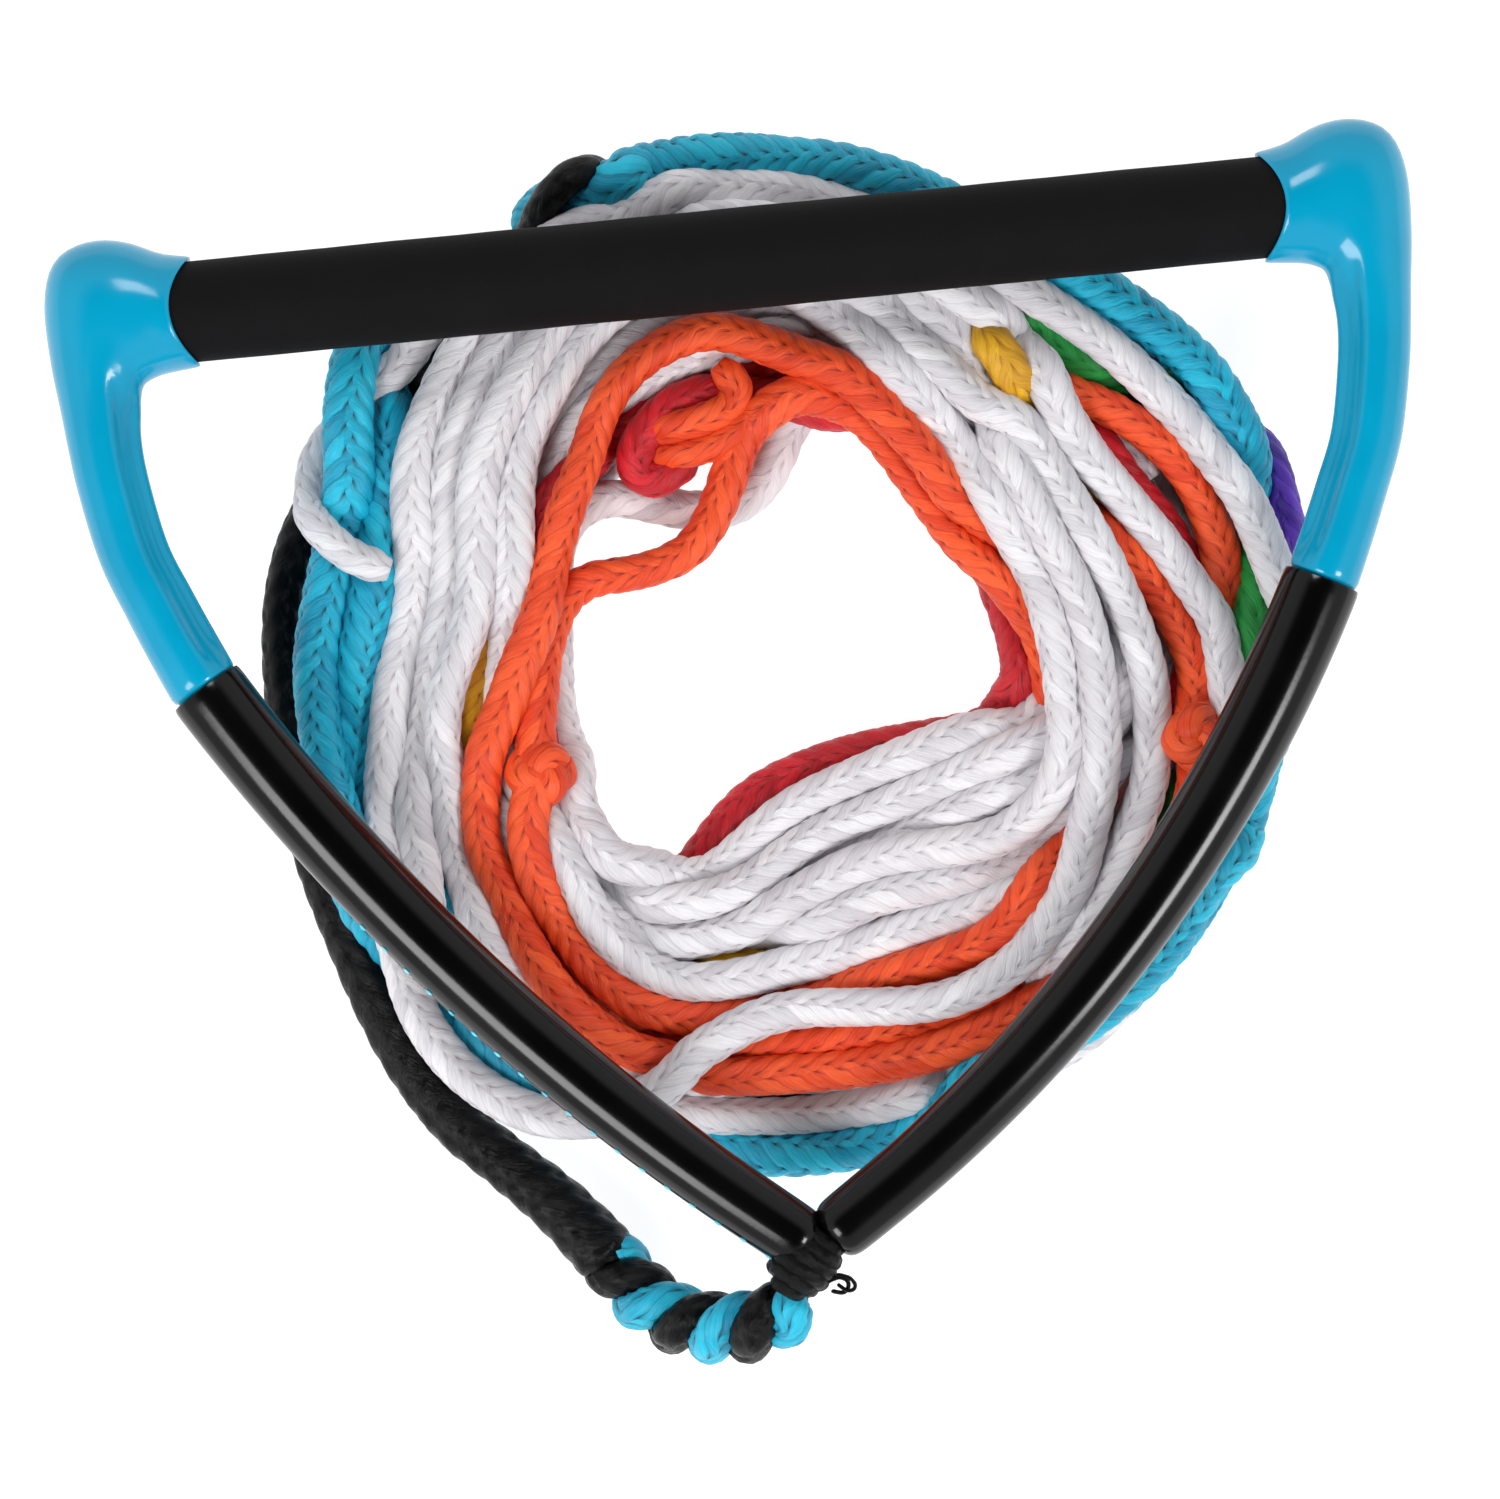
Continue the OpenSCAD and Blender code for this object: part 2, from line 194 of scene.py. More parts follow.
ROUTES["orange_section"] = (11.6, [
    at(18, (60, -20), (78, -36)), at(26, (93, -47), (108, -54), (122, -65), (133, -78), (139, -94)),
    at(27, (141, -110), (142, -124)), at(18, (136, -152), (120, -188)), at(18, (92, -222)),
    at(25, (54, -239), (39, -243), (18, -246), (-7, -246), (-30, -245)),
    at(28, (-50, -237), (-62, -228), (-75, -214), (-83, -198)),
    at(30, (-88, -180), (-92, -167), (-91, -155), (-86, -140), (-79, -125), (-72, -110)),
    at(33, (-64, -90), (-56, -69), (-48, -55), (-43, -42), (-33, -30), (-20, -23), (-7, -20)),
    at(33, (4, -24), (16, -30), (27, -37), (39, -45), (50, -58), (60, -73)),
    at(24, (72, -92), (86, -118)), at(20, (93, -148), (92, -172)),
    at(28, (84, -187), (75, -200), (65, -211)), at(28, (46, -216), (26, -220)),
    at(26, (0, -223), (-20, -226), (-35, -226)), at(28, (-49, -221), (-60, -210), (-68, -197)),
    at(29, (-72, -181), (-75, -168), (-73, -149), (-71, -130), (-69, -112)),
    at(30, (-62, -98), (-51, -91), (-40, -92), (-28, -90), (-18, -86), (-10, -74), (-5, -63)),
    at(28, (-2, -54), (5, -47), (15, -42), (25, -41), (35, -46), (44, -59), (53, -75)),
    at(24, (62, -88), (73, -101), (84, -115), (89, -131)), at(14, (93, -156), (86, -186)),
    at(20, (62, -226), (40, -234), (9, -237), (-6, -236)), at(14, (-40, -234), (-72, -206)),
    turn(98, 214, 60, 7, 92), at(16, (70, -62), (96, -84)), at(22, (115, -104), (120, -110)),
    at(24, (126, -124), (131, -140)), at(26, (127, -156)),
])
ROUTES["red_section"] = (11.5, [
    at(20, (124, -160)), at(20, (131, -138), (132, -115)), at(24, (124, -92), (110, -72)),
    at(20, (92, -52), (66, -30)), turn(90, 58, 120, 16, 92), turn(92, 120, 205, 16, 86),
    at(14, (-62, -176), (-46, -192)), at(13, (-33, -187), (-22, -174), (-11, -163), (2, -157), (24, -152)),
    at(12, (50, -150), (70, -148)), at(16, (78, -138), (75, -118), (72, -104)),
    at(22, (70, -88), (64, -74), (56, -63)), at(22, (42, -50), (24, -44), (4, -42), (-10, -38)),
    at(27, (-22, -42), (-33, -52), (-36, -60)), at(25, (-31, -66.5), (-23, -63), (-16, -56)),
])
ROUTES["yellow_section"] = (11.2, [
    at(14, (-30, -212)), at(20, (2, -206), (24, -199)), at(21, (46, -186), (66, -178)), at(20, (84, -167)),
    at(14, (104, -142), (110, -112)), at(18, (98, -74)), at(30, (87, -46), (76, -28)),
    at(22, (48, -8), (14, 12)), at(18, (-20, 4), (-50, -16)),
    at(26, (-72, -40), (-77, -60)), at(22, (-80, -90), (-90, -130)), turn(108, 195, 232, 8),
])
ROUTES["green_section"] = (11.2, [
    at(14, (0, 14), (40, 6)), at(25, (76, -14), (92, -30), (106, -43)), at(18, (128, -52)),
    at(20, (148, -70), (151, -92)), at(24, (150, -112), (147, -128)), at(14, (138, -160)),
    turn(122, -36, -120, 8, 118),
])
ROUTES["blue_section"] = (11.2, [
    at(16, (58, -62), (74, -88)), at(17, (80, -105), (83, -122), (81, -136), (77, -149)),
    at(9, (62, -168)), turn(84, -50, -130, 7, 96),
])
ROUTES["violet_section"] = (10.6, [
    at(22, (160, -106), (159, -92)), at(15, (150, -66)), turn(141, 22, 98, 7.5, 139),
])
for name, (_, parts) in ROUTES.items():
    print(name, round(path_length(smooth_path(np.vstack(parts), 5)) * MM, 2), "m by hand")

# %% [markdown]
# ## The leader
# The bridle ends in a leader: two strands twisted together, turquoise and black, which then run into
# one black braid that tapers. The CAD model holds the same points.

# %% Leader route
LEADER = np.array([
    [-9.2, -312.4, AXIS_Z - 4, 9.5], [-18, -321, 48, 10], [-35, -323, 34, 10.4],
    [-52, -317, 20, 10.4], [-64, -303, 11, 10.4], [-79, -284, 9.5, 9.5], [-95, -268, 8.5, 8.5],
    [-109, -254, 8, 8], [-121, -235, 7.5, 7.5], [-130, -215, 7, 7], [-137, -196, 6.5, 6.5],
    [-143, -177, 6.2, 6.2], [-147.5, -158, 6, 6], [-149.5, -138, 6, 6], [-150, -118, 6, 6],
    [-149, -100, 6, 6], [-146, -84, 6, 6], [-139, -67, 6, 6],
])
TWIST_END = 4
LEADER_HIDDEN = np.array([
    [-126, -50, 6, 6], [-108, -38, 8, 5.6], [-93, -22, 12, 5.3], [-76, -2, 15, 5.2], [-62, 12, 20, 5.1],
    [-54, 24, 31, 5], [-46, 31, 36, 5], [-39, 33, 31, 5], [-36, 30, 20, 5], [-40, 20, 14, 5],
    [-52, 12, 13, 5],
])

# %% [markdown]
# ## Settling the heap
# Ropes can't pass through each other. Each section becomes a chain of beads, and the beads push each
# other apart, mostly up and down, while they sink towards the floor and stay near their places. This
# is the idea of a rope simulation, worked out with arrays so that it gives the same heap every time.

# %% Settle
BEAD_STEP = 5.0
HEAP_TOP = 40.9
PAIRS_EVERY = 6
NEAR_BEADS = 19.0
TIGHTNESS = 0.97
PUSH_SHARE = np.array([0.26, 0.26, 0.42])
LONGEST_PUSH = 1.6
HOME_PULL = 0.10
HEIGHT_PULL = 0.03
SINK = 0.10
SMOOTHING = 0.22
LEADER_BEAD = 12.0


def settle(chains, widths, held, rounds=90):
    """Pushes the chains' beads apart. `held` marks chains that don't move."""
    place = np.vstack(chains)
    sizes = [len(c) for c in chains]
    owner = np.repeat(np.arange(len(chains)), sizes)
    order = np.concatenate([np.arange(n) for n in sizes])
    radius = np.repeat(np.array(widths) / 2, sizes)
    free = np.repeat(~np.array(held), sizes).astype(float)
    home = place.copy()
    starts = np.cumsum([0] + sizes)
    first = second = None
    for step in range(rounds):
        if step % PAIRS_EVERY == 0:
            flat = place[:, :2].astype(np.float32)
            gap = ((flat[:, None] - flat[None]) ** 2).sum(-1)
            near = gap < NEAR_BEADS**2
            same = (owner[:, None] == owner[None]) & (np.abs(order[:, None] - order[None]) < 5)
            first, second = np.nonzero(np.triu(near & ~same, 1))
        away = place[first] - place[second]
        distance = np.linalg.norm(away, axis=1) + 1e-6
        overlap = (radius[first] + radius[second]) * TIGHTNESS - distance
        hit = overlap > 0
        a, b = first[hit], second[hit]
        push = away[hit] / distance[hit, None] * overlap[hit, None] * PUSH_SHARE
        moved = np.zeros_like(place)
        for k in range(3):
            moved[:, k] = np.bincount(a, push[:, k], len(place)) - np.bincount(b, push[:, k], len(place))
        place += np.clip(moved, -LONGEST_PUSH, LONGEST_PUSH) * free[:, None]
        place[:, :2] += (home[:, :2] - place[:, :2]) * HOME_PULL * free[:, None]
        place[:, 2] += ((home[:, 2] - place[:, 2]) * HEIGHT_PULL - SINK) * free
        for lo, hi in zip(starts[:-1], starts[1:]):
            chain = place[lo:hi]
            middle = (chain[:-2] + chain[2:]) / 2
            chain[1:-1] += (middle - chain[1:-1]) * SMOOTHING * free[lo]
        place[:, 2] = np.where(free > 0, np.clip(place[:, 2], radius, HEAP_TOP - radius), place[:, 2])
    left = float(overlap[hit].max()) if hit.any() else 0
    print("settled", len(place), "beads; deepest contact left", round(left, 2), "mm")
    return [place[lo:hi] for lo, hi in zip(starts[:-1], starts[1:])]


leader_route = np.vstack([LEADER[TWIST_END:], LEADER_HIDDEN])
leader_chain = smooth_path(leader_route, BEAD_STEP)[:, :3]
chains = [smooth_path(np.vstack(parts), BEAD_STEP) for _, parts in ROUTES.values()]
widths = [width for width, _ in ROUTES.values()]
settled = settle(chains + [leader_chain], widths + [LEADER_BEAD], [False] * len(chains) + [True])
ROUTE = dict(zip(ROUTES, settled))

# %% [markdown]
# ## Braided rope
# The rope is a braid of flat yarns: seen from any side, two columns of slanting stitches meet in a
# row of chevrons. The mesh is a tube swept along the route, whose surface swells at each stitch and
# dips where two yarns meet. The tube's own UV map counts columns round it and stitches along it, so
# that the material's fibres and grooves follow the same stitches.

# %% Braid
COLUMNS = 4
SLANT = 1.5
WEAVE = 0.09
RELIEF = 0.20
FULLNESS = 1.04
END_SIZE = 0.45
THICK_ROPE = 14
THICK_STITCH = 6.6
THIN_STITCH = 7.2


def woven(u, v):
    """Moves the line between two columns to and fro, so that each yarn's end laps over the next."""
    line = np.round(u)
    lead = v + np.where(line % 2 == 1, SLANT / 2, 0.5 - SLANT / 2)
    return u + WEAVE * np.cos(2 * math.pi * lead) * np.cos(math.pi * (u - line)) ** 2


def stitch_height(u, v):
    """How plump the braid is, from 0 to 1, at u columns round it and v stitches along it."""
    u = woven(u, v)
    column = np.floor(u)
    across = u - column
    odd = column % 2
    phase = v + (1 - 2 * odd) * SLANT * (across - 0.5) + 0.5 * odd
    f = phase - np.floor(phase)
    plump = np.clip(4 * f * (1 - f), 0, 1) ** 0.6
    edge = np.abs(2 * across - 1) ** 3
    return 1 - (1 - plump) * (0.65 + 0.2 * edge) - 0.15 * edge


def sweep_frame(path, twist):
    """Tangent, side and top directions along a path, turned slowly about it."""
    tangent = np.gradient(path, axis=0)
    tangent /= np.linalg.norm(tangent, axis=1)[:, None]
    side = np.cross(tangent, [0, 0, 1.0])
    side /= np.maximum(np.linalg.norm(side, axis=1)[:, None], 1e-6)
    for _ in range(3):
        side[1:-1] = (side[:-2] + side[1:-1] + side[2:]) / 3
    side -= (side * tangent).sum(1)[:, None] * tangent
    side /= np.linalg.norm(side, axis=1)[:, None]
    top = np.cross(side, tangent)
    c, s = np.cos(twist)[:, None], np.sin(twist)[:, None]
    return tangent, side * c + top * s, top * c - side * s


def tube_mesh(name, rings, u, v):
    """A closed tube from rings of points, with u round and v along it as its UV map."""
    count, sides = rings.shape[:2]
    points = rings.reshape(-1, 3)
    i = np.arange(count - 1)[:, None] * sides
    j = np.arange(sides)[None]
    k = (j + 1) % sides
    quads = np.stack([i + j, i + k, i + sides + k, i + sides + j], -1).reshape(-1, 4)
    caps = [list(range(sides - 1, -1, -1)), list(range((count - 1) * sides, count * sides))]
    mesh = bpy.data.meshes.new(name)
    mesh.from_pydata(points.tolist(), [], quads.tolist() + caps)
    uv = mesh.uv_layers.new(name="stitches")
    step = u[1] - u[0]
    left = np.broadcast_to(u[None], (count - 1, sides))
    low = np.broadcast_to(v[:-1, None], (count - 1, sides))
    high = np.broadcast_to(v[1:, None], (count - 1, sides))
    corner = np.stack([left, low, left + step, low, left + step, high, left, high], -1).reshape(-1)
    flat = np.concatenate([corner, np.zeros(4 * sides)])
    uv.data.foreach_set("uv", flat.astype(np.float32))
    mesh.polygons.foreach_set("use_smooth", [True] * (len(mesh.polygons) - 2) + [False] * 2)
    mesh.update()
    piece = bpy.data.objects.new(name, mesh)
    bpy.context.collection.objects.link(piece)
    return piece


def braid(name, route, width, seed, step=1.2, sides=32, stitch=None, depth=1.0):
    """A braided rope along a route in millimetres, whose fourth column, if any, is its radius."""
    path = smooth_path(route, step)
    for _ in range(4):
        path[1:-1, :3] = (path[:-2, :3] + 2 * path[1:-1, :3] + path[2:, :3]) / 4
    radius = path[:, 3] if path.shape[1] > 3 else np.full(len(path), width / 2)
    path = path[:, :3]
    stitch = stitch or (THICK_STITCH if width > THICK_ROPE else THIN_STITCH)
    along = np.concatenate([[0], np.cumsum(np.linalg.norm(np.diff(path, axis=0), axis=1))])
    rng = np.random.default_rng(seed)
    wave = rng.uniform(0, 2 * math.pi, 4)
    twist = 0.42 * np.sin(along / 47 + wave[0]) + 0.3 * np.sin(along / 19 + wave[1])
    tangent, side, top = sweep_frame(path, twist)
    squash = 1.05 + 0.06 * np.sin(along / 31 + wave[2])
    swell = 1 + 0.03 * np.sin(along / 23 + wave[3])
    close = np.minimum(1, END_SIZE + np.minimum(along, along[-1] - along) / (0.8 * width)) ** 0.6
    u = np.arange(sides) / sides * COLUMNS
    v = along / stitch
    angle = 2 * math.pi * u / COLUMNS + math.pi / 2
    height = stitch_height(u[None], v[:, None])
    reach = (radius * swell * close)[:, None] * (1 - RELIEF * depth * (1 - height)) * FULLNESS
    wide = reach * np.cos(angle)[None] * squash[:, None]
    tall = reach * np.sin(angle)[None] / squash[:, None]
    rings = path[:, None] - wide[:, :, None] * side[:, None] + tall[:, :, None] * top[:, None]
    piece = tube_mesh(name, rings[:, ::-1] * MM, u[::-1].copy(), v)
    return piece, path


# %% [markdown]
# ## Materials for rope
# One node group draws the braid: it takes the UV map, works out which stitch a point is on, and gives
# the groove between the yarns, the fine fibres along them and a tone for each stitch. Each colour's
# material places that group, keeps its own Principled shader and paints shade into the grooves.


# %% Node helpers
def math_node(tree, kind, *values):
    """A Math node whose inputs are numbers or other nodes' outputs. Returns its output."""
    node = tree.nodes.new("ShaderNodeMath")
    node.operation = kind
    for socket, value in zip(node.inputs, values):
        if isinstance(value, (int, float)):
            socket.default_value = value
        else:
            tree.links.new(value, socket)
    return node.outputs[0]


def ramp(tree, factor, *stops):
    """A colour ramp on a value. A stop is (place, colour)."""
    node = tree.nodes.new("ShaderNodeValToRGB")
    tree.links.new(factor, node.inputs[0])
    elements = node.color_ramp.elements
    for index, (place, colour) in enumerate(stops):
        element = elements[index] if index < 2 else elements.new(place)
        element.position = place
        element.color = (*colour, 1)
    return node.outputs[0]


def noise(tree, vector, scale, detail=3, roughness=0.55):
    """A noise texture's value."""
    node = tree.nodes.new("ShaderNodeTexNoise")
    tree.links.new(vector, node.inputs["Vector"])
    node.inputs["Scale"].default_value = scale
    node.inputs["Detail"].default_value = detail
    node.inputs["Roughness"].default_value = roughness
    return node.outputs[0]


def linear(code):
    """A colour written as six hex digits, in Blender's linear values."""
    parts = [int(code[k:k + 2], 16) / 255 for k in (0, 2, 4)]
    return tuple(c / 12.92 if c <= 0.04045 else ((c + 0.055) / 1.055) ** 2.4 for c in parts)


def mixed(tree, factor, a, b, blend="MIX"):
    """A colour mix. a and b are colours or outputs."""
    node = tree.nodes.new("ShaderNodeMix")
    node.data_type = "RGBA"
    node.blend_type = blend
    for socket, value in ((node.inputs[0], factor), (node.inputs[6], a), (node.inputs[7], b)):
        if isinstance(value, tuple):
            socket.default_value = (*value, 1)
        elif isinstance(value, (int, float)):
            socket.default_value = value
        else:
            tree.links.new(value, socket)
    return node.outputs[2]


# %% Braid group
braid_group = bpy.data.node_groups.new("braid yarns", "ShaderNodeTree")
braid_group.interface.new_socket("UV", in_out="INPUT", socket_type="NodeSocketVector")
for output in ("Plump", "Fibre", "Tone", "Height"):
    braid_group.interface.new_socket(output, in_out="OUTPUT", socket_type="NodeSocketFloat")
g_in = braid_group.nodes.new("NodeGroupInput")
g_out = braid_group.nodes.new("NodeGroupOutput")
split = braid_group.nodes.new("ShaderNodeSeparateXYZ")
braid_group.links.new(g_in.outputs[0], split.inputs[0])
u_out, v_out = split.outputs[0], split.outputs[1]
line = math_node(braid_group, "ROUND", u_out)
parity = math_node(braid_group, "FLOORED_MODULO", line, 2.0)
lead = math_node(braid_group, "ADD", v_out, math_node(
    braid_group, "ADD", math_node(braid_group, "MULTIPLY", parity, SLANT - 0.5), 0.5 - SLANT / 2))
to_and_fro = math_node(braid_group, "COSINE", math_node(braid_group, "MULTIPLY", lead, 2 * math.pi))
fade = math_node(braid_group, "POWER", math_node(braid_group, "COSINE", math_node(
    braid_group, "MULTIPLY", math_node(braid_group, "SUBTRACT", u_out, line), math.pi)), 2.0)
u_woven = math_node(braid_group, "ADD", u_out, math_node(
    braid_group, "MULTIPLY", math_node(braid_group, "MULTIPLY", to_and_fro, fade), WEAVE))
column = math_node(braid_group, "FLOOR", u_woven)
across = math_node(braid_group, "FRACT", u_woven)
odd = math_node(braid_group, "FLOORED_MODULO", column, 2.0)
sign = math_node(braid_group, "SUBTRACT", 1.0, math_node(braid_group, "MULTIPLY", odd, 2.0))
lean = math_node(braid_group, "MULTIPLY", sign, math_node(
    braid_group, "MULTIPLY", math_node(braid_group, "SUBTRACT", across, 0.5), SLANT))
phase = math_node(braid_group, "ADD", math_node(braid_group, "ADD", v_out, lean),
                  math_node(braid_group, "MULTIPLY", odd, 0.5))
inside = math_node(braid_group, "FRACT", phase)
bell = math_node(braid_group, "MULTIPLY", math_node(braid_group, "MULTIPLY", inside, 4.0),
                 math_node(braid_group, "SUBTRACT", 1.0, inside))
plump = math_node(braid_group, "POWER", bell, 0.5)
edge = math_node(braid_group, "POWER", math_node(braid_group, "ABSOLUTE", math_node(
    braid_group, "SUBTRACT", math_node(braid_group, "MULTIPLY", across, 2.0), 1.0)), 3.0)
groove_shade = math_node(braid_group, "MULTIPLY", math_node(braid_group, "SUBTRACT", 1.0, plump), math_node(
    braid_group, "ADD", math_node(braid_group, "MULTIPLY", edge, 0.55), 0.45))
plump = math_node(braid_group, "SUBTRACT", math_node(braid_group, "SUBTRACT", 1.0, groove_shade),
                  math_node(braid_group, "MULTIPLY", edge, 0.12))
stitch_id = math_node(braid_group, "ADD", math_node(braid_group, "FLOOR", phase),
                      math_node(braid_group, "MULTIPLY", column, 17.3))
white = braid_group.nodes.new("ShaderNodeTexWhiteNoise")
white.noise_dimensions = "1D"
braid_group.links.new(stitch_id, white.inputs["W"])
thread = braid_group.nodes.new("ShaderNodeCombineXYZ")
braid_group.links.new(math_node(braid_group, "MULTIPLY", phase, 5.0), thread.inputs[0])
braid_group.links.new(math_node(braid_group, "MULTIPLY", across, 0.9), thread.inputs[1])
braid_group.links.new(math_node(braid_group, "MULTIPLY", column, 5.7), thread.inputs[2])
fibre = noise(braid_group, thread.outputs[0], 2.2, 5, 0.65)
# Plump sets the yarns' height for the bump and, where it is low, how much painted shade the rope materials
# lay into the grooves.
for index, value in enumerate((plump, fibre, white.outputs[0])):
    braid_group.links.new(value, g_out.inputs[index])
braid_group.links.new(math_node(braid_group, "ADD", math_node(braid_group, "MULTIPLY", plump, 0.8),
                                math_node(braid_group, "MULTIPLY", fibre, 0.8)), g_out.inputs[3])


# %% Rope material
YARN_BUMP = 0.0007


def rope_material(name, light, dark, groove_shade, roughness=0.40, sheen=0.05, glow=0.0, specular=0.42,
                  groove_shade_range=(0.12, 0.80)):
    """Braided rope in one colour: light and dark yarns, and painted shade in the grooves between them."""
    material = bpy.data.materials.new(name)
    material.use_nodes = True
    tree = material.node_tree
    shader = tree.nodes["Principled BSDF"]
    uv = tree.nodes.new("ShaderNodeUVMap")
    uv.uv_map = "stitches"
    yarns = tree.nodes.new("ShaderNodeGroup")
    yarns.node_tree = braid_group
    tree.links.new(uv.outputs[0], yarns.inputs[0])
    streak = math_node(tree, "ADD", math_node(tree, "MULTIPLY", yarns.outputs["Tone"], 0.35),
                       math_node(tree, "MULTIPLY", yarns.outputs["Fibre"], 0.9))
    body = ramp(tree, streak, (0.40, dark), (0.82, light))
    # Painted shade: towards the grooves between the yarns, the base colour is multiplied down to the groove
    # colour.
    shade = ramp(tree, yarns.outputs["Plump"], (groove_shade_range[0], groove_shade), (groove_shade_range[1], (1, 1, 1)))
    tree.links.new(mixed(tree, 1.0, body, shade, "MULTIPLY"), shader.inputs["Base Color"])
    gloss = math_node(tree, "ADD", math_node(tree, "MULTIPLY", yarns.outputs["Fibre"], 0.3),
                      roughness - 0.15)
    tree.links.new(gloss, shader.inputs["Roughness"])
    bump = tree.nodes.new("ShaderNodeBump")
    bump.inputs["Strength"].default_value = 0.75
    bump.inputs["Distance"].default_value = YARN_BUMP
    tree.links.new(yarns.outputs["Height"], bump.inputs["Height"])
    tree.links.new(bump.outputs[0], shader.inputs["Normal"])
    shader.inputs["Sheen Weight"].default_value = sheen
    shader.inputs["Sheen Roughness"].default_value = 0.4
    shader.inputs["Specular IOR Level"].default_value = specular
    if glow:
        shader.inputs["Subsurface Weight"].default_value = glow
        shader.inputs["Subsurface Radius"].default_value = (1.0, 0.9, 0.9)
        shader.inputs["Subsurface Scale"].default_value = 0.002
    return material


# Each rope's third colour is painted shade, laid into the grooves between its yarns.
ROPE = {
    "turquoise": rope_material("turquoise rope", linear("18C4E4"), linear("0090B6"), (0.01, 0.09, 0.12),
                               groove_shade_range=(0.24, 0.82)),
    "white": rope_material("white rope", linear("F3F1F4"), linear("D2CFD5"), (0.56, 0.51, 0.55), glow=0.15),
    "orange": rope_material("orange rope", linear("FF6028"), linear("DE380E"), (0.38, 0.07, 0.03),
                            groove_shade_range=(0.24, 0.80)),
    "red": rope_material("red rope", linear("DB1C2C"), linear("A80C18"), (0.35, 0.08, 0.08)),
    "yellow": rope_material("yellow rope", linear("F2BB24"), linear("CC8E10"), (0.5, 0.3, 0.08)),
    "green": rope_material("green rope", linear("12A040"), linear("047028"), (0.1, 0.35, 0.15)),
    "blue": rope_material("blue rope", linear("1048A8"), linear("06286A"), (0.1, 0.15, 0.35)),
    "violet": rope_material("violet rope", linear("6A38C0"), linear("42208A"), (0.25, 0.15, 0.4)),
    "black": rope_material("black rope", linear("080809"), linear("020203"), (0.1, 0.1, 0.1),
                           roughness=0.18, sheen=0.0, specular=0.16),
}
print(len(ROPE), "rope colours")

# %% [markdown]
# ## The sections as cords
# Each section is swept along its settled route and attached to the rope's body. The
# first leaves the leader's loop, and each of the others leaves the section before it at a knot.

# %% Sections
SECTIONS = [
    ("turquoise_section", "turquoise", "turquoise_rope", ["coil_turquoise", "boat_loop"], 1.1),
    ("white_section_top", "white", "white_rope", ["coil_white"], 1.1),
    ("white_section_middle", "white", "white_rope", [], 1.25),
    ("white_section_base", "white", "white_rope", [], 2.2),
    ("white_tail", "white", "white_rope", [], 1.0),
    ("orange_section", "orange", "orange_rope", ["coil_orange"], 1.1),
    ("red_section", "red", "red_rope", ["coil_red"], 1.3),
    ("yellow_section", "yellow", "yellow_rope", ["coil_yellow"], 1.4),
    ("green_section", "green", "green_rope", ["coil_green"], 1.4),
    ("blue_section", "blue", "blue_rope", ["coil_blue"], 1.4),
    ("violet_section", "violet", "violet_rope", ["coil_violet"], 1.4),
]
total = 0.0
for seed, (name, colour, slot, nodes, step) in enumerate(SECTIONS):
    width = ROUTES[name][0]
    relief = 1.0 if colour == "white" else 1.35
    piece, path = braid(name, ROUTE[name], width, seed, step=step, depth=relief)
    piece.data.materials.append(ROPE[colour])
    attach(piece, "rope")
    if nodes:
        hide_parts(*nodes)
    length = path_length(path) * MM
    total += length
    print(name, round(length, 3), "m,", len(piece.data.polygons), "faces")
print("sections together", round(total, 2), "m")

# %% Leader braid
leader, path = braid("leader_braid_rope", leader_route, 13, 31, step=1.1, stitch=9.5, depth=0.9)
leader.data.materials.append(ROPE["black"])
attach(leader, "rope")
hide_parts("leader_braid", "leader_join")

# %% Leader twist
TWIST_PITCH = 28.0
STRAND = 6.2
twist_path = smooth_path(LEADER[:TWIST_END + 2], 0.8)
run = np.concatenate([[0], np.cumsum(np.linalg.norm(np.diff(twist_path[:, :3], axis=0), axis=1))])
keep = run <= path_length(smooth_path(LEADER[:TWIST_END + 1], 0.8)) + 7
twist_path, run = twist_path[keep], run[keep]
_, twist_side, twist_top = sweep_frame(twist_path[:, :3], run * 0)
for name, colour, start in (("twist_turquoise", "turquoise", 0.9), ("twist_black", "black", 0.9 + math.pi)):
    angle = 2 * math.pi * run / TWIST_PITCH + start
    offset = (twist_path[:, 3] - STRAND + 0.5) * np.clip(0.35 + run / 14, 0, 1)
    strand = twist_path[:, :3] + offset[:, None] * (
        np.cos(angle)[:, None] * twist_side + np.sin(angle)[:, None] * twist_top)
    piece, path = braid(name, strand[::3], 2 * STRAND, 41, step=0.9, sides=24, stitch=7.0, depth=1.3)
    piece.data.materials.append(ROPE[colour])
    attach(piece, "rope")
    if colour == "turquoise":
        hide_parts("leader_twist")
    print(name, round(path_length(path) * MM, 3), "m")

# %% [markdown]
# ## Shapes extruded ring by ring
# The corner arms and the guards are bent, tapering shapes. By hand they would be modelled from one
# ring of points: extrude it a little, move it along, turn it to the new direction and scale it, and go
# on. `extruded` does just that with Blender's own operators, from a list of stations.


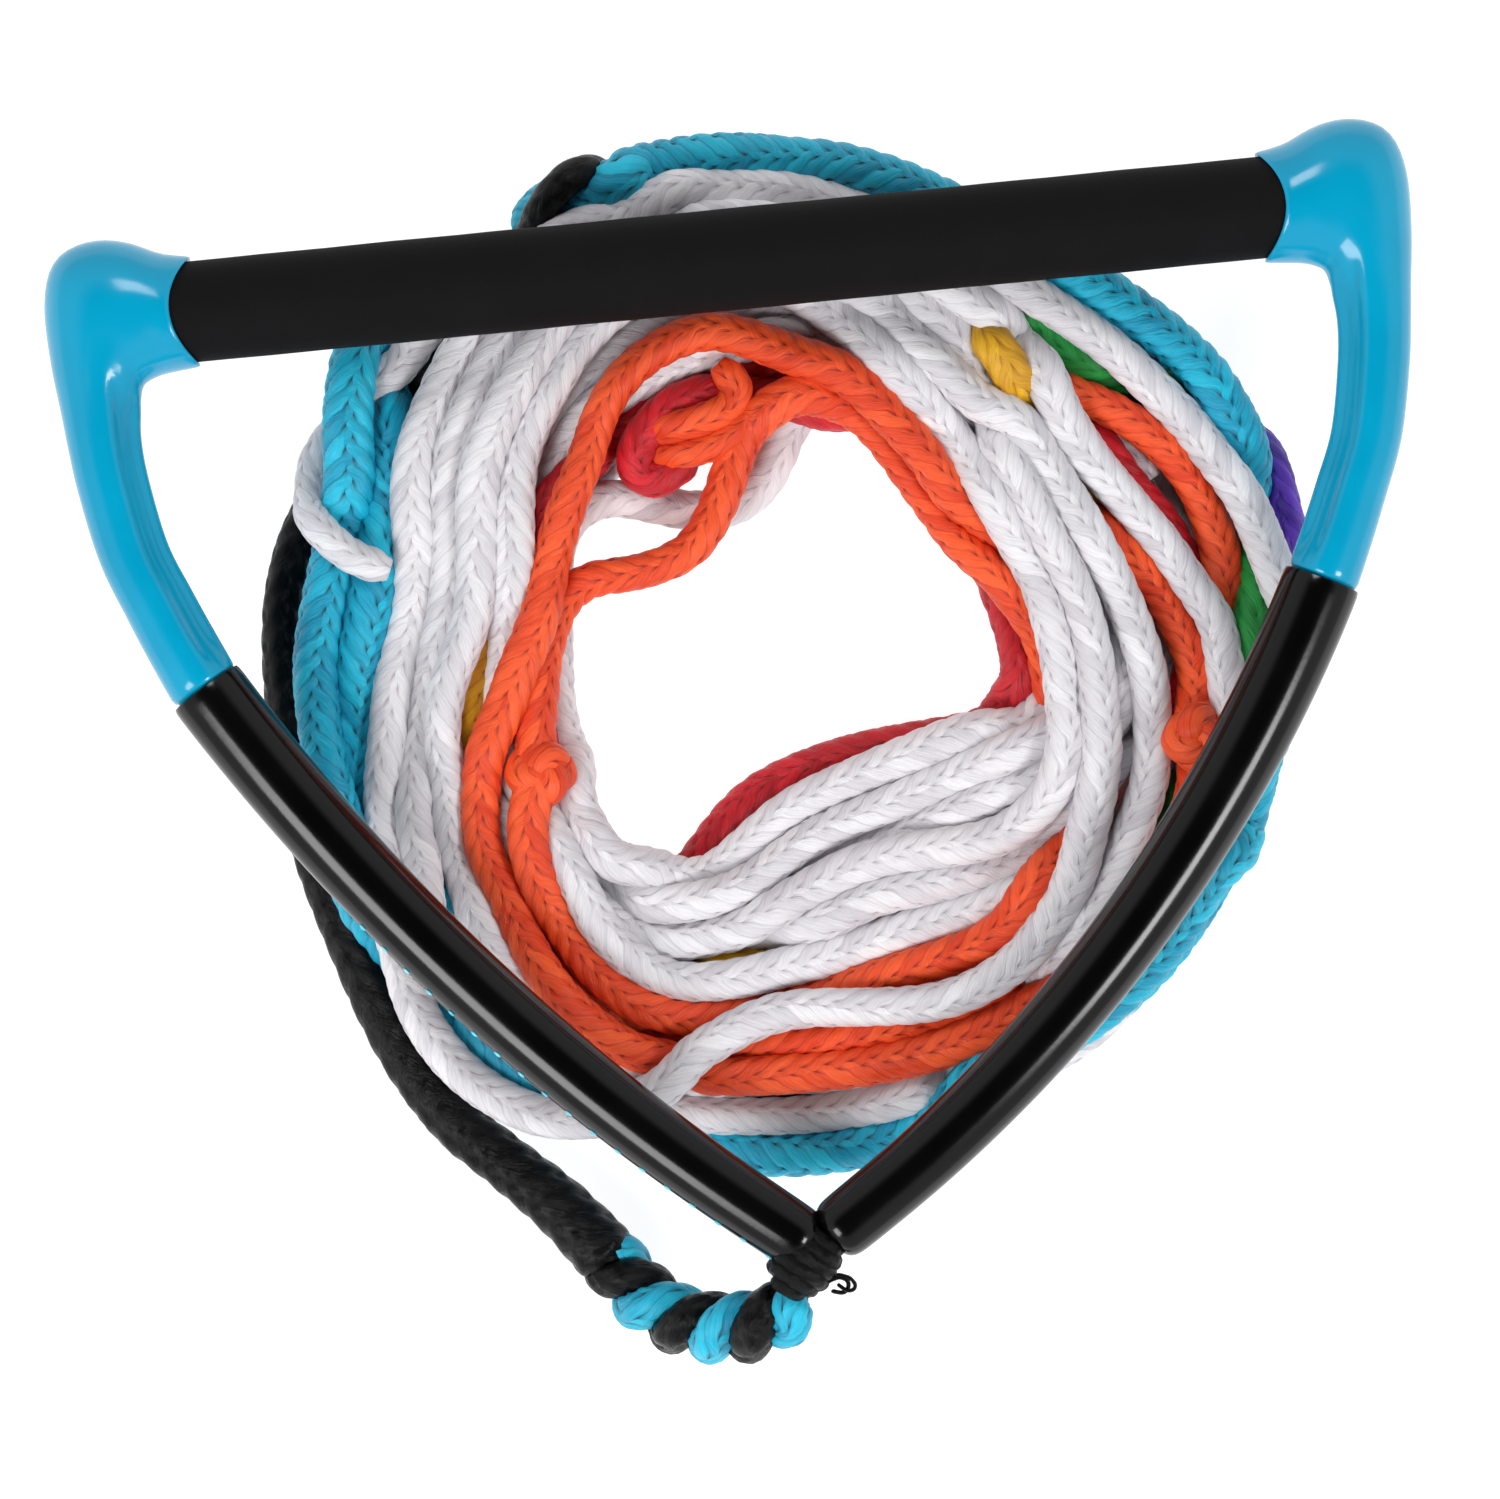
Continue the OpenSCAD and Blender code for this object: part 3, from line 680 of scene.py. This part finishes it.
# %% Ring by ring
def extruded(name, stations, sides):
    """A closed shape from stations of (x, y, heading in degrees, half width, half height) in mm,
    on the height of the bar's axis."""
    bpy.ops.object.select_all(action="DESELECT")
    x, y, heading, wide, tall = stations[0]
    bpy.ops.mesh.primitive_circle_add(
        vertices=sides, radius=wide * MM, fill_type="NOTHING",
        location=(x * MM, y * MM, AXIS_Z * MM), rotation=(0, math.pi / 2, math.radians(heading)))
    piece = bpy.context.object
    piece.name = name
    bpy.ops.object.transform_apply(location=True, rotation=True, scale=True)
    bpy.ops.object.mode_set(mode="EDIT")
    bpy.ops.mesh.select_mode(type="VERT")
    bpy.ops.mesh.select_all(action="SELECT")
    bpy.ops.mesh.edge_face_add()
    for before, now in zip(stations[:-1], stations[1:]):
        move = ((now[0] - before[0]) * MM, (now[1] - before[1]) * MM, 0)
        centre = (now[0] * MM, now[1] * MM, AXIS_Z * MM)
        bpy.ops.mesh.extrude_region_move(TRANSFORM_OT_translate={"value": move})
        bpy.ops.transform.rotate(value=math.radians(before[2]), orient_axis="Z", center_override=centre)
        bpy.ops.transform.resize(value=(1, now[3] / before[3], now[4] / before[4]),
                                 center_override=centre)
        bpy.ops.transform.rotate(value=-math.radians(now[2]), orient_axis="Z", center_override=centre)
    bpy.ops.mesh.select_all(action="SELECT")
    bpy.ops.mesh.normals_make_consistent(inside=False)
    bpy.ops.object.mode_set(mode="OBJECT")
    return piece


def mirrored(stations):
    """The same stations on the left side."""
    return [(-x, y, 180 - heading, wide, tall) for x, y, heading, wide, tall in stations]


def pick_points(piece, where):
    """Selects the points that `where` picks and nothing else, and stays in edit mode."""
    bpy.ops.object.select_all(action="DESELECT")
    piece.select_set(True)
    bpy.context.view_layer.objects.active = piece
    bpy.ops.object.mode_set(mode="EDIT")
    bpy.ops.mesh.select_all(action="DESELECT")
    bpy.ops.object.mode_set(mode="OBJECT")
    for point in piece.data.vertices:
        point.select = where(point.co)
    bpy.ops.object.mode_set(mode="EDIT")


def move_points(piece, where, shift):
    """Moves the points that `where` picks by `shift`."""
    pick_points(piece, where)
    bpy.ops.transform.translate(value=shift)
    bpy.ops.object.mode_set(mode="OBJECT")


def scale_points(piece, where, value, centre):
    """Scales the points that `where` picks by `value` about `centre`."""
    pick_points(piece, where)
    bpy.ops.transform.resize(value=value, center_override=centre)
    bpy.ops.object.mode_set(mode="OBJECT")


def finish_smooth(piece, levels=1):
    """Subdivides a piece, applies that, and shades it smooth."""
    bpy.ops.object.select_all(action="DESELECT")
    piece.select_set(True)
    bpy.context.view_layer.objects.active = piece
    if levels:
        soft = piece.modifiers.new("rounding", "SUBSURF")
        soft.levels = levels
        soft.render_levels = levels
        bpy.ops.object.modifier_apply(modifier=soft.name)
    bpy.ops.object.shade_smooth_by_angle(angle=math.radians(50))


# %% [markdown]
# ## Plastic and rubber
# The arms are glossy moulded plastic, the guards are glossy extruded tube, and the grip is matt rubber
# with a fine ground grain. A shared group gives each its small unevenness, and the guards and the grip
# a little handling wear.

# %% Surface group
surface_group = bpy.data.node_groups.new("surface grain", "ShaderNodeTree")
for socket, kind in (("Vector", "NodeSocketVector"), ("Fine", "NodeSocketFloat"),
                     ("Broad", "NodeSocketFloat")):
    surface_group.interface.new_socket(socket, in_out="INPUT", socket_type=kind)
for output in ("Grain", "Cloud", "Scuff"):
    surface_group.interface.new_socket(output, in_out="OUTPUT", socket_type="NodeSocketFloat")
s_in = surface_group.nodes.new("NodeGroupInput")
s_out = surface_group.nodes.new("NodeGroupOutput")
for index, (socket, detail) in enumerate(((1, 4), (2, 3))):
    texture = surface_group.nodes.new("ShaderNodeTexNoise")
    texture.inputs["Detail"].default_value = detail
    surface_group.links.new(s_in.outputs[0], texture.inputs["Vector"])
    surface_group.links.new(s_in.outputs[socket], texture.inputs["Scale"])
    surface_group.links.new(texture.outputs[0], s_out.inputs[index])
scratch = surface_group.nodes.new("ShaderNodeTexVoronoi")
scratch.inputs["Scale"].default_value = 420
surface_group.links.new(s_in.outputs[0], scratch.inputs["Vector"])
surface_group.links.new(math_node(surface_group, "LESS_THAN", scratch.outputs["Distance"], 0.11),
                        s_out.inputs[2])


def surface_material(name, light, dark, roughness, fine, broad, bump_depth, scuff=0.0, specular=0.5,
                     metallic=0.0):
    """A moulded, extruded or drawn surface: two close tones, a grain and a few scuffs."""
    material = bpy.data.materials.new(name)
    material.use_nodes = True
    tree = material.node_tree
    shader = tree.nodes["Principled BSDF"]
    place = tree.nodes.new("ShaderNodeTexCoord")
    grain = tree.nodes.new("ShaderNodeGroup")
    grain.node_tree = surface_group
    tree.links.new(place.outputs["Object"], grain.inputs[0])
    grain.inputs[1].default_value = fine
    grain.inputs[2].default_value = broad
    body = ramp(tree, grain.outputs["Cloud"], (0.32, dark), (0.68, light))
    if scuff:
        mark = math_node(tree, "MULTIPLY", grain.outputs["Scuff"], scuff)
        body = mixed(tree, mark, body, tuple(min(1, c * 1.6 + 0.02) for c in light))
    tree.links.new(body, shader.inputs["Base Color"])
    gloss = math_node(tree, "ADD", math_node(tree, "MULTIPLY", grain.outputs["Cloud"], 0.10),
                      roughness - 0.05)
    tree.links.new(gloss, shader.inputs["Roughness"])
    bump = tree.nodes.new("ShaderNodeBump")
    bump.inputs["Strength"].default_value = 0.6
    bump.inputs["Distance"].default_value = bump_depth
    tree.links.new(grain.outputs["Grain"], bump.inputs["Height"])
    tree.links.new(bump.outputs[0], shader.inputs["Normal"])
    shader.inputs["Specular IOR Level"].default_value = specular
    shader.inputs["Metallic"].default_value = metallic
    return material


arm_plastic = surface_material("turquoise plastic", linear("009EC6"), linear("0096BE"), 0.16, 900, 35,
                               0.00002, specular=0.42)
guard_plastic = surface_material("black tube plastic", linear("040404"), linear("020202"), 0.17, 700, 40,
                                 0.00002, scuff=0.015, specular=0.38)
grip_rubber = surface_material("grip rubber", linear("0E0D0F"), linear("09090A"), 0.8, 2600, 55,
                               0.00012, scuff=0.05, specular=0.14)
aluminium = surface_material("drawn aluminium", linear("C8CACD"), linear("B4B6BA"), 0.3, 1500, 60,
                             0.00001, metallic=1.0)
float_foam = surface_material("float foam", linear("E2DDCB"), linear("CFC9B4"), 0.85, 1800, 80, 0.0002)
plug_plastic = surface_material("plug plastic", linear("55575A"), linear("47494C"), 0.5, 900, 50, 0.00004)
print("moulded materials made")

# %% [markdown]
# ## Corner arms
# Each arm is a collar round the bar's end, a rounded elbow, and a slim leg that sweeps down and in. The
# collar's edge is scalloped: it reaches further over the grip at its sides than at its crown. The
# stations are a few measures of that shape, joined by one smooth curve.

# %% Arms
ARM = np.array([
    [0.6, 0, 0, 0, 17.0, 17.0], [5, 0.4, 0, 2, 18.1, 17.5], [12, 2.3, 0, 8, 20.9, 17.8],
    [19.5, 2.2, 0, 16, 23.2, 17.8], [25.5, -0.3, 0, 29, 23.7, 17.2], [28.2, -7, 0, 40, 20.8, 16],
    [28.6, -17, 0, 56, 15.9, 14.4], [28, -27, 0, 76, 12.6, 12.8], [27.6, -37, 0, 90, 11.3, 11.8],
    [26.2, -50, 0, 95, 11, 11.4], [22, -71, 0, 101, 10.8, 11.2], [15.8, -87, 0, 109, 10.8, 11.2],
    [10.8, -99, 0, 113, 10.9, 11.2], [4.5, -113.2, 0, 117.5, 11, 11.2],
])
GRIP_RADIUS = 15.35
SOCKET = 9
ARM_SIDES = 32
HOLLOW = 0.20
RING_PLANE = 0.05
LIP_EDGE = 2.6
COLLAR_HALF = 22


def arm_stations():
    """The right arm's stations, from inside its socket, over the lip and along to the guard."""
    stations = [(MOUTH_X + SOCKET, 0, 0, GRIP_RADIUS + 0.15, GRIP_RADIUS + 0.15),
                (MOUTH_X + 0.7, 0, 0, GRIP_RADIUS + 0.15, GRIP_RADIUS + 0.15),
                (MOUTH_X, 0, 0, 16.0, 16.0), (MOUTH_X + 0.1, 0, 0, 16.6, 16.6)]
    for x, y, _, heading, wide, tall in smooth_path(ARM, 3.6):
        stations.append((MOUTH_X + x, y, -heading, wide, tall))
    x, y, heading, wide, tall = stations[-1]
    stations += [(x - 0.3, y - 0.6, heading, 8, 8), (x - 3, y - 5.6, heading, 7.6, 7.6)]
    return stations


def hollow_inner_face(arm, stations):
    """Draws in the leg's inner upper and lower faces, which leaves a ridge along each."""
    for x, y, heading, wide, tall in stations:
        depth = HOLLOW * min(1, max(0, (-y - 8) / 22)) * min(1, max(0, (y + 113) / 12))
        if depth <= 0:
            continue
        centre = Vector((x * MM, y * MM, AXIS_Z * MM))
        along = Vector((math.cos(math.radians(heading)), math.sin(math.radians(heading)), 0))
        inner = -1 if x > 0 else 1
        most = 1.3 * max(wide, tall) * MM

        def on_inner_face(p, centre=centre, along=along, inner=inner, most=most):
            off = p - centre
            lean = math.degrees(math.atan2(abs(off.z), inner * off.x))
            return abs(off.dot(along)) < RING_PLANE * MM and off.length < most and 18 < lean < 62

        scale_points(arm, on_inner_face, (1 - depth,) * 3, centre)


def make_arm(side, stations, sign):
    """One arm, with its lip scalloped, its face a little flattened and a ridge near its inner edge."""
    arm = extruded(side + "_corner_arm", stations, ARM_SIDES)
    edge = (MOUTH_X + LIP_EDGE) * MM
    for k in range(ARM_SIDES):
        bearing = 2 * math.pi * k / ARM_SIDES
        shift = (-0.3 + 3.3 * math.cos(2 * bearing)) * MM * sign

        def on_lip(p, bearing=bearing):
            around = math.atan2(p.y, p.z - AXIS_Z * MM)
            off = (around - bearing + math.pi) % (2 * math.pi) - math.pi
            return abs(off) < math.pi / ARM_SIDES and abs(p.x) < edge and abs(p.y) < COLLAR_HALF * MM

        move_points(arm, on_lip, (shift, 0, 0))
    hollow_inner_face(arm, stations)
    finish_smooth(arm)
    arm.data.materials.append(arm_plastic)
    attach(arm, "handle")
    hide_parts(side + "_arm")
    print(arm.name, len(arm.data.polygons), "faces")


right_stations = arm_stations()
make_arm("right", right_stations, 1)
make_arm("left", mirrored(right_stations), -1)

# %% [markdown]
# ## Guards
# A stiff plastic tube guards each leg of the bridle, from its arm to the apex. It is a long bow that
# thins a little towards a rounded, open tip, where the rope comes out.

# %% Guards
JUNCTION = np.array([MOUTH_X + 4.5, -113.2])
APEX = np.array([-2.0, -306.0])
RIGHT_TIP = APEX + [10.2, 11.6]
LEFT_TIP = APEX + [-7, 10.5]
BUSH = np.array([6.6, 6.1])
RIGHT_BOW = 15.5
LEFT_BOW = 10.0
TIP_REACH = 6.2
GUARD_RINGS = 34
GUARD_RADII = (12.0, 10.0)
TIP_PROFILE = ((3.5, 9.9), (5.6, 9.6), (7.2, 8.9), (8.3, 7.9), (8.9, 6.7), (9, 5.6), (8.2, 5.1), (2, 5.0))


def bowed(start, end, bow, count):
    """Points and headings on an arc from start to end that bows to its left."""
    chord = np.linalg.norm(end - start)
    bend = chord**2 / (8 * bow) + bow / 2
    half = math.asin(chord / 2 / bend)
    heading = math.atan2(end[1] - start[1], end[0] - start[0])
    centre = (start + end) / 2 + (bend - bow) * np.array([math.sin(heading), -math.cos(heading)])
    bearing = np.linspace(heading + math.pi / 2 + half, heading + math.pi / 2 - half, count)
    points = centre + bend * np.column_stack([np.cos(bearing), np.sin(bearing)])
    return points, np.degrees(bearing) - 90


def guard_stations(end, bow):
    """A guard's stations: a chamfered start, the taper, the rounded tip and the mouth inside it."""
    points, headings = bowed(JUNCTION, end, bow, GUARD_RINGS)
    along = np.array([math.cos(math.radians(headings[-1])), math.sin(math.radians(headings[-1]))])
    points = np.vstack([points[:-1], points[-1] + along * TIP_REACH])
    taper = np.linspace(*GUARD_RADII, GUARD_RINGS)
    stations = [(*points[0], headings[0], 7.9, 7.9), (*points[0], headings[0], 11.4, 11.4)]
    step = (points[1] - points[0]) / np.linalg.norm(points[1] - points[0])
    stations.append((*(points[0] + 0.6 * step), headings[0], 12.0, 12.0))
    stations += [(*p, h, r, r) for p, h, r in zip(points[1:], headings[1:], taper[1:])]
    for distance, radius in TIP_PROFILE:
        stations.append((*(points[-1] + along * distance), headings[-1], radius, radius))
    return stations


def make_guard(side, stations):
    """One guard, which stands for the CAD tube and the bush in its end."""
    guard = extruded(side + "_guard_tube", stations, 32)
    finish_smooth(guard)
    guard.data.materials.append(guard_plastic)
    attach(guard, "handle")
    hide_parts(side + "_guard", side + "_tip_bush")
    print(guard.name, len(guard.data.polygons), "faces")


right_guard = guard_stations(RIGHT_TIP + BUSH, RIGHT_BOW)
left_guard = guard_stations(LEFT_TIP * [-1, 1] + BUSH, LEFT_BOW)
make_guard("right", right_guard)
make_guard("left", mirrored(left_guard))

# %% [markdown]
# ## Seam stitches
# A row of pale turquoise stitches runs along the outer side of the left guard. Each is a small sphere,
# flattened and laid along the tube, and the row is joined into one piece.

# %% Seam stitches
SEAM_STEP = 9.3
STITCH_SHAPE = (1.3, 0.55, 0.8)
ON_SURFACE = 0.955
SEAM_RISE = 0.30

bpy.ops.object.select_all(action="DESELECT")
seam_points = [(x, y, 0, heading, wide) for x, y, heading, wide, _ in mirrored(left_guard)[14:36]]
seam_path = smooth_path(seam_points, SEAM_STEP)
stitches = []
for x, y, _, heading, wide in seam_path:
    turn_angle = math.radians(heading)
    across_guard = np.array([math.sin(turn_angle), -math.cos(turn_angle)])
    spot = np.array([x, y]) + across_guard * wide * ON_SURFACE
    bpy.ops.mesh.primitive_uv_sphere_add(
        segments=10, ring_count=6, radius=MM, rotation=(0, 0, turn_angle),
        location=(spot[0] * MM, spot[1] * MM, (AXIS_Z + wide * SEAM_RISE) * MM))
    stitch_piece = bpy.context.object
    stitch_piece.scale = STITCH_SHAPE
    stitches.append(stitch_piece)
for stitch_piece in stitches:
    stitch_piece.select_set(True)
bpy.context.view_layer.objects.active = stitches[0]
bpy.ops.object.transform_apply(location=True, rotation=True, scale=True)
bpy.ops.object.join()
seam = bpy.context.object
seam.name = "guard_seam_stitches"
finish_smooth(seam, levels=0)
seam.data.materials.append(surface_material(
    "seam yarn", linear("8FE0EE"), linear("57C4DA"), 0.5, 3000, 300, 0.00003))
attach(seam, "handle")
print(len(stitches), "stitches along the left guard")

# %% [markdown]
# ## Grip
# The grip is one long rubber sleeve. It is a cylinder with its ends hidden in the collars, cut into
# short bands so that it can be a little uneven, as a ground rubber sleeve is.

# %% Grip
BAND = 10
CUTS = range(-16, 17)

bpy.ops.object.select_all(action="DESELECT")
bpy.ops.mesh.primitive_cylinder_add(
    vertices=72, radius=GRIP_RADIUS * MM, depth=2 * (MOUTH_X + SOCKET - 1.5) * MM,
    location=(0, 0, AXIS_Z * MM), rotation=(0, math.pi / 2, 0))
grip = bpy.context.object
grip.name = "rubber_grip"
bpy.ops.object.transform_apply(location=True, rotation=True, scale=True)
bpy.ops.object.mode_set(mode="EDIT")
for cut in CUTS:
    bpy.ops.mesh.select_all(action="SELECT")
    bpy.ops.mesh.bisect(plane_co=(cut * BAND * MM, 0, 0), plane_no=(1, 0, 0))
bpy.ops.object.mode_set(mode="OBJECT")
for cut in CUTS:
    swell = 1 + 0.004 * math.sin(cut * 1.7) + 0.003 * math.sin(cut * 0.6 + 1)
    scale_points(grip, lambda p, x=cut * BAND * MM: abs(p.x - x) < 1e-6, (1, swell, swell),
                 (0, 0, AXIS_Z * MM))
finish_smooth(grip, levels=0)
grip.data.materials.append(grip_rubber)
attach(grip, "handle")
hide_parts("grip_sleeve")

for node, material in (("bar_tube", aluminium), ("float_core", float_foam),
                       ("left_end_plug", plug_plastic), ("right_end_plug", plug_plastic)):
    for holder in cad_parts[node].material_slots:
        holder.material = material
print("grip and inner pieces finished")

# %% [markdown]
# ## Bridle rope and whipping
# One black rope runs from the apex through a guard, an arm and the bar, and back down the other side.
# Only its two ends show. They meet in a whipping of wound yarn, with two loose loops of thread at its side.

# %% Bridle rope
SOCKET_DEPTH = 13.5
CORNER_BEND = 15.0
CHANNEL_X = MOUTH_X + SOCKET_DEPTH + CORNER_BEND
BRIDLE_WIDTH = 8.0


def bridle_leg(guard_points):
    """Half of the bridle rope on the right side, from the middle of the bar to the guard's tip."""
    inset = CHANNEL_X - JUNCTION[0]
    drop = -JUNCTION[1] - CORNER_BEND
    bend = (inset**2 + drop**2) / (2 * inset)
    sweep = math.asin(drop / bend)
    corner = [(CHANNEL_X - CORNER_BEND + CORNER_BEND * math.cos(a),
               -CORNER_BEND + CORNER_BEND * math.sin(a)) for a in np.linspace(math.pi / 2, 0, 6)]
    leg = [(CHANNEL_X - bend + bend * math.cos(a), -CORNER_BEND + bend * math.sin(a))
           for a in np.linspace(0, -sweep, 6)[1:]]
    return np.array([(0, 0), (60, 0), (120, 0)] + corner + leg + guard_points)


right_leg = bridle_leg([s[:2] for s in right_guard[6:-8:5]] + [tuple(RIGHT_TIP)])
left_leg = bridle_leg([s[:2] for s in left_guard[6:-8:5]] + [(-LEFT_TIP[0], LEFT_TIP[1])]) * [-1, 1]
flat_route = np.vstack([[APEX + [-2, 3]], left_leg[::-1], right_leg[1:], [APEX + [2.5, 3.5]]])
bridle_route = np.column_stack([flat_route, np.full(len(flat_route), AXIS_Z)])
bridle, path = braid("bridle_rope_whole", bridle_route, BRIDLE_WIDTH, 51, step=1.3, sides=20, stitch=6.0)
bridle.data.materials.append(ROPE["black"])
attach(bridle, "handle")
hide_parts("bridle_rope")
print("bridle rope", round(path_length(path) * MM, 2), "m")

# %% Whipping
WINDING_TURNS = 6
YARN = 2.9
WHIPPING_RADIUS = 7.6
WHIPPING_LENGTH = 21
WHIPPING_TILT = 44
t = np.linspace(0, 1, 260)
lean = 2 * math.pi * WINDING_TURNS * t
reach = WHIPPING_RADIUS * np.sqrt(np.clip(1 - ((t - 0.5) * 1.9) ** 2, 0.03, 1))
run = (t - 0.5) * WHIPPING_LENGTH
winding = np.column_stack([run, reach * np.cos(lean), 0.86 * reach * np.sin(lean)])
tilt = math.radians(WHIPPING_TILT)
turned = np.column_stack([
    winding[:, 0] * math.cos(tilt) - winding[:, 1] * math.sin(tilt),
    winding[:, 0] * math.sin(tilt) + winding[:, 1] * math.cos(tilt), winding[:, 2]])
whipping, _ = braid("whipping_yarn_wound", turned + [APEX[0] - 4, APEX[1] + 3, AXIS_Z + 1], 2 * YARN, 61,
                    step=0.8, sides=16, stitch=4.4, depth=1.4)
whipping.data.materials.append(ROPE["black"])
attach(whipping, "splice")
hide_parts("apex_whipping")

LOOPS = (
    [(2, -4, 2), (6, -3, 1), (8.5, -5, 0), (7, -8, -1), (3, -7, 0)],
    [(5, -2, 2), (9, -3.5, 2), (10.5, -6.5, 1), (8, -7.5, 1), (5, -5, 1)],
)
for number, loop in enumerate(LOOPS):
    points = np.array(loop, float) + [APEX[0], APEX[1], AXIS_Z]
    thread, _ = braid("loose_thread_%d" % number, points, 1.3, 70 + number, step=0.6, sides=10,
                      stitch=2.5)
    thread.data.materials.append(ROPE["black"])
    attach(thread, "splice")
print("whipping wound with", WINDING_TURNS, "turns")

# %% [markdown]
# ## Knots in the line
# Two sections are joined by passing loops through each other and drawing them tight. A tight knot is
# one short length of the same rope that winds through itself, so each is swept along a small trefoil.
# Where red meets orange the loops are still open: a bight of orange hooks through the red one.


# %% Knots
KNOT_SPREAD = 4.6
KNOT_ROPE = 10.2
LOBE = 0.55
KNOT_HEIGHT = 0.62
KNOT_PRESS = 0.8


def knot(name, place, tilt, seed):
    """A tight knot of orange rope round a place in millimetres."""
    t = np.linspace(0, 2 * math.pi, 64)
    ring = KNOT_SPREAD + LOBE * KNOT_SPREAD * np.cos(3 * t)
    points = np.column_stack([ring * np.cos(2 * t), ring * np.sin(2 * t),
                              KNOT_HEIGHT * KNOT_SPREAD * np.sin(3 * t)])
    c, s = math.cos(tilt), math.sin(tilt)
    points = np.column_stack([points[:, 0] * c - points[:, 1] * s * KNOT_PRESS,
                              points[:, 0] * s + points[:, 1] * c * KNOT_PRESS, points[:, 2]])
    piece, _ = braid(name, points + place, KNOT_ROPE, seed, step=0.9, sides=20, stitch=7.0)
    piece.data.materials.append(ROPE["orange"])
    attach(piece, "rope")
    return piece


orange_knot = knot("orange_joining_knot", at(33, (-71, -149))[0], 0.4, 81)
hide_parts("knot_orange_white")
bight = np.vstack([
    at(30, (-6, -31), (-1, -38.5), (-4, -44.5)), at(31, (-13, -47.5)), at(28, (-22, -49)),
    at(18, (-30, -51), (-33, -54), (-29, -57)), at(27, (-19, -57)), at(29, (-9, -55.5), (1, -50)),
    at(27, (7, -43)),
])
red_knot, _ = braid("red_joining_knot", bight, 9.0, 82, step=0.9, sides=24, stitch=7.0)
red_knot.data.materials.append(ROPE["orange"])
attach(red_knot, "rope")
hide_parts("knot_red_orange")
knot("right_joining_knot", at(33, (127, -157))[0], 0.9, 83)
print("three knots")

# %% [markdown]
# ## Floor and light
# A plain pale floor and an even white surround. The surround is dark straight overhead, so that the
# black pieces stay black seen from above and show soft streaks along their sides. Three soft boxes
# light it, two on the near side and a weaker one on the far side.

# %% Studio
bpy.ops.object.select_all(action="DESELECT")
bpy.ops.mesh.primitive_plane_add(size=8, location=(0, 0, -0.0004))
floor = bpy.context.object
floor.name = "floor"
paper = bpy.data.materials.new("pale floor")
paper.use_nodes = True
paper_shader = paper.node_tree.nodes["Principled BSDF"]
paper_shader.inputs["Base Color"].default_value = (0.35, 0.35, 0.35, 1)
paper_shader.inputs["Roughness"].default_value = 0.9
paper_shader.inputs["Specular IOR Level"].default_value = 0.0
paper_shader.inputs["Emission Color"].default_value = (1, 1, 1, 1)
paper_shader.inputs["Emission Strength"].default_value = 0.88
floor.data.materials.append(paper)

world = bpy.data.worlds.new("studio")
bpy.context.scene.world = world
world.use_nodes = True
sky = world.node_tree
direction = sky.nodes.new("ShaderNodeTexCoord")
part = sky.nodes.new("ShaderNodeSeparateXYZ")
sky.links.new(direction.outputs["Generated"], part.inputs[0])
surround = ramp(sky, part.outputs[2], (0.0, (1.0, 1.0, 1.0)), (0.66, (0.92, 0.92, 0.92)),
                (0.86, (0.05, 0.05, 0.05)))
sky.links.new(surround, sky.nodes["Background"].inputs[0])
sky.nodes["Background"].inputs[1].default_value = 0.66
for name, place, size, power in (
    ("soft box left", (-0.85, -0.9, 1.2), 0.7, 14.5),
    ("soft box right", (0.9, -0.8, 1.2), 0.45, 10.5),
    ("soft box far", (-0.1, 1.0, 1.5), 0.5, 7),
):
    bpy.ops.object.light_add(type="AREA", location=place)
    lamp = bpy.context.object
    lamp.name = name
    lamp.data.size = size
    lamp.data.energy = power
    lamp.rotation_euler = (Vector((0, -0.13, 0.03)) - lamp.location).to_track_quat("-Z", "Y").to_euler()
bpy.context.scene.view_settings.view_transform = "Standard"
print("three lamps")
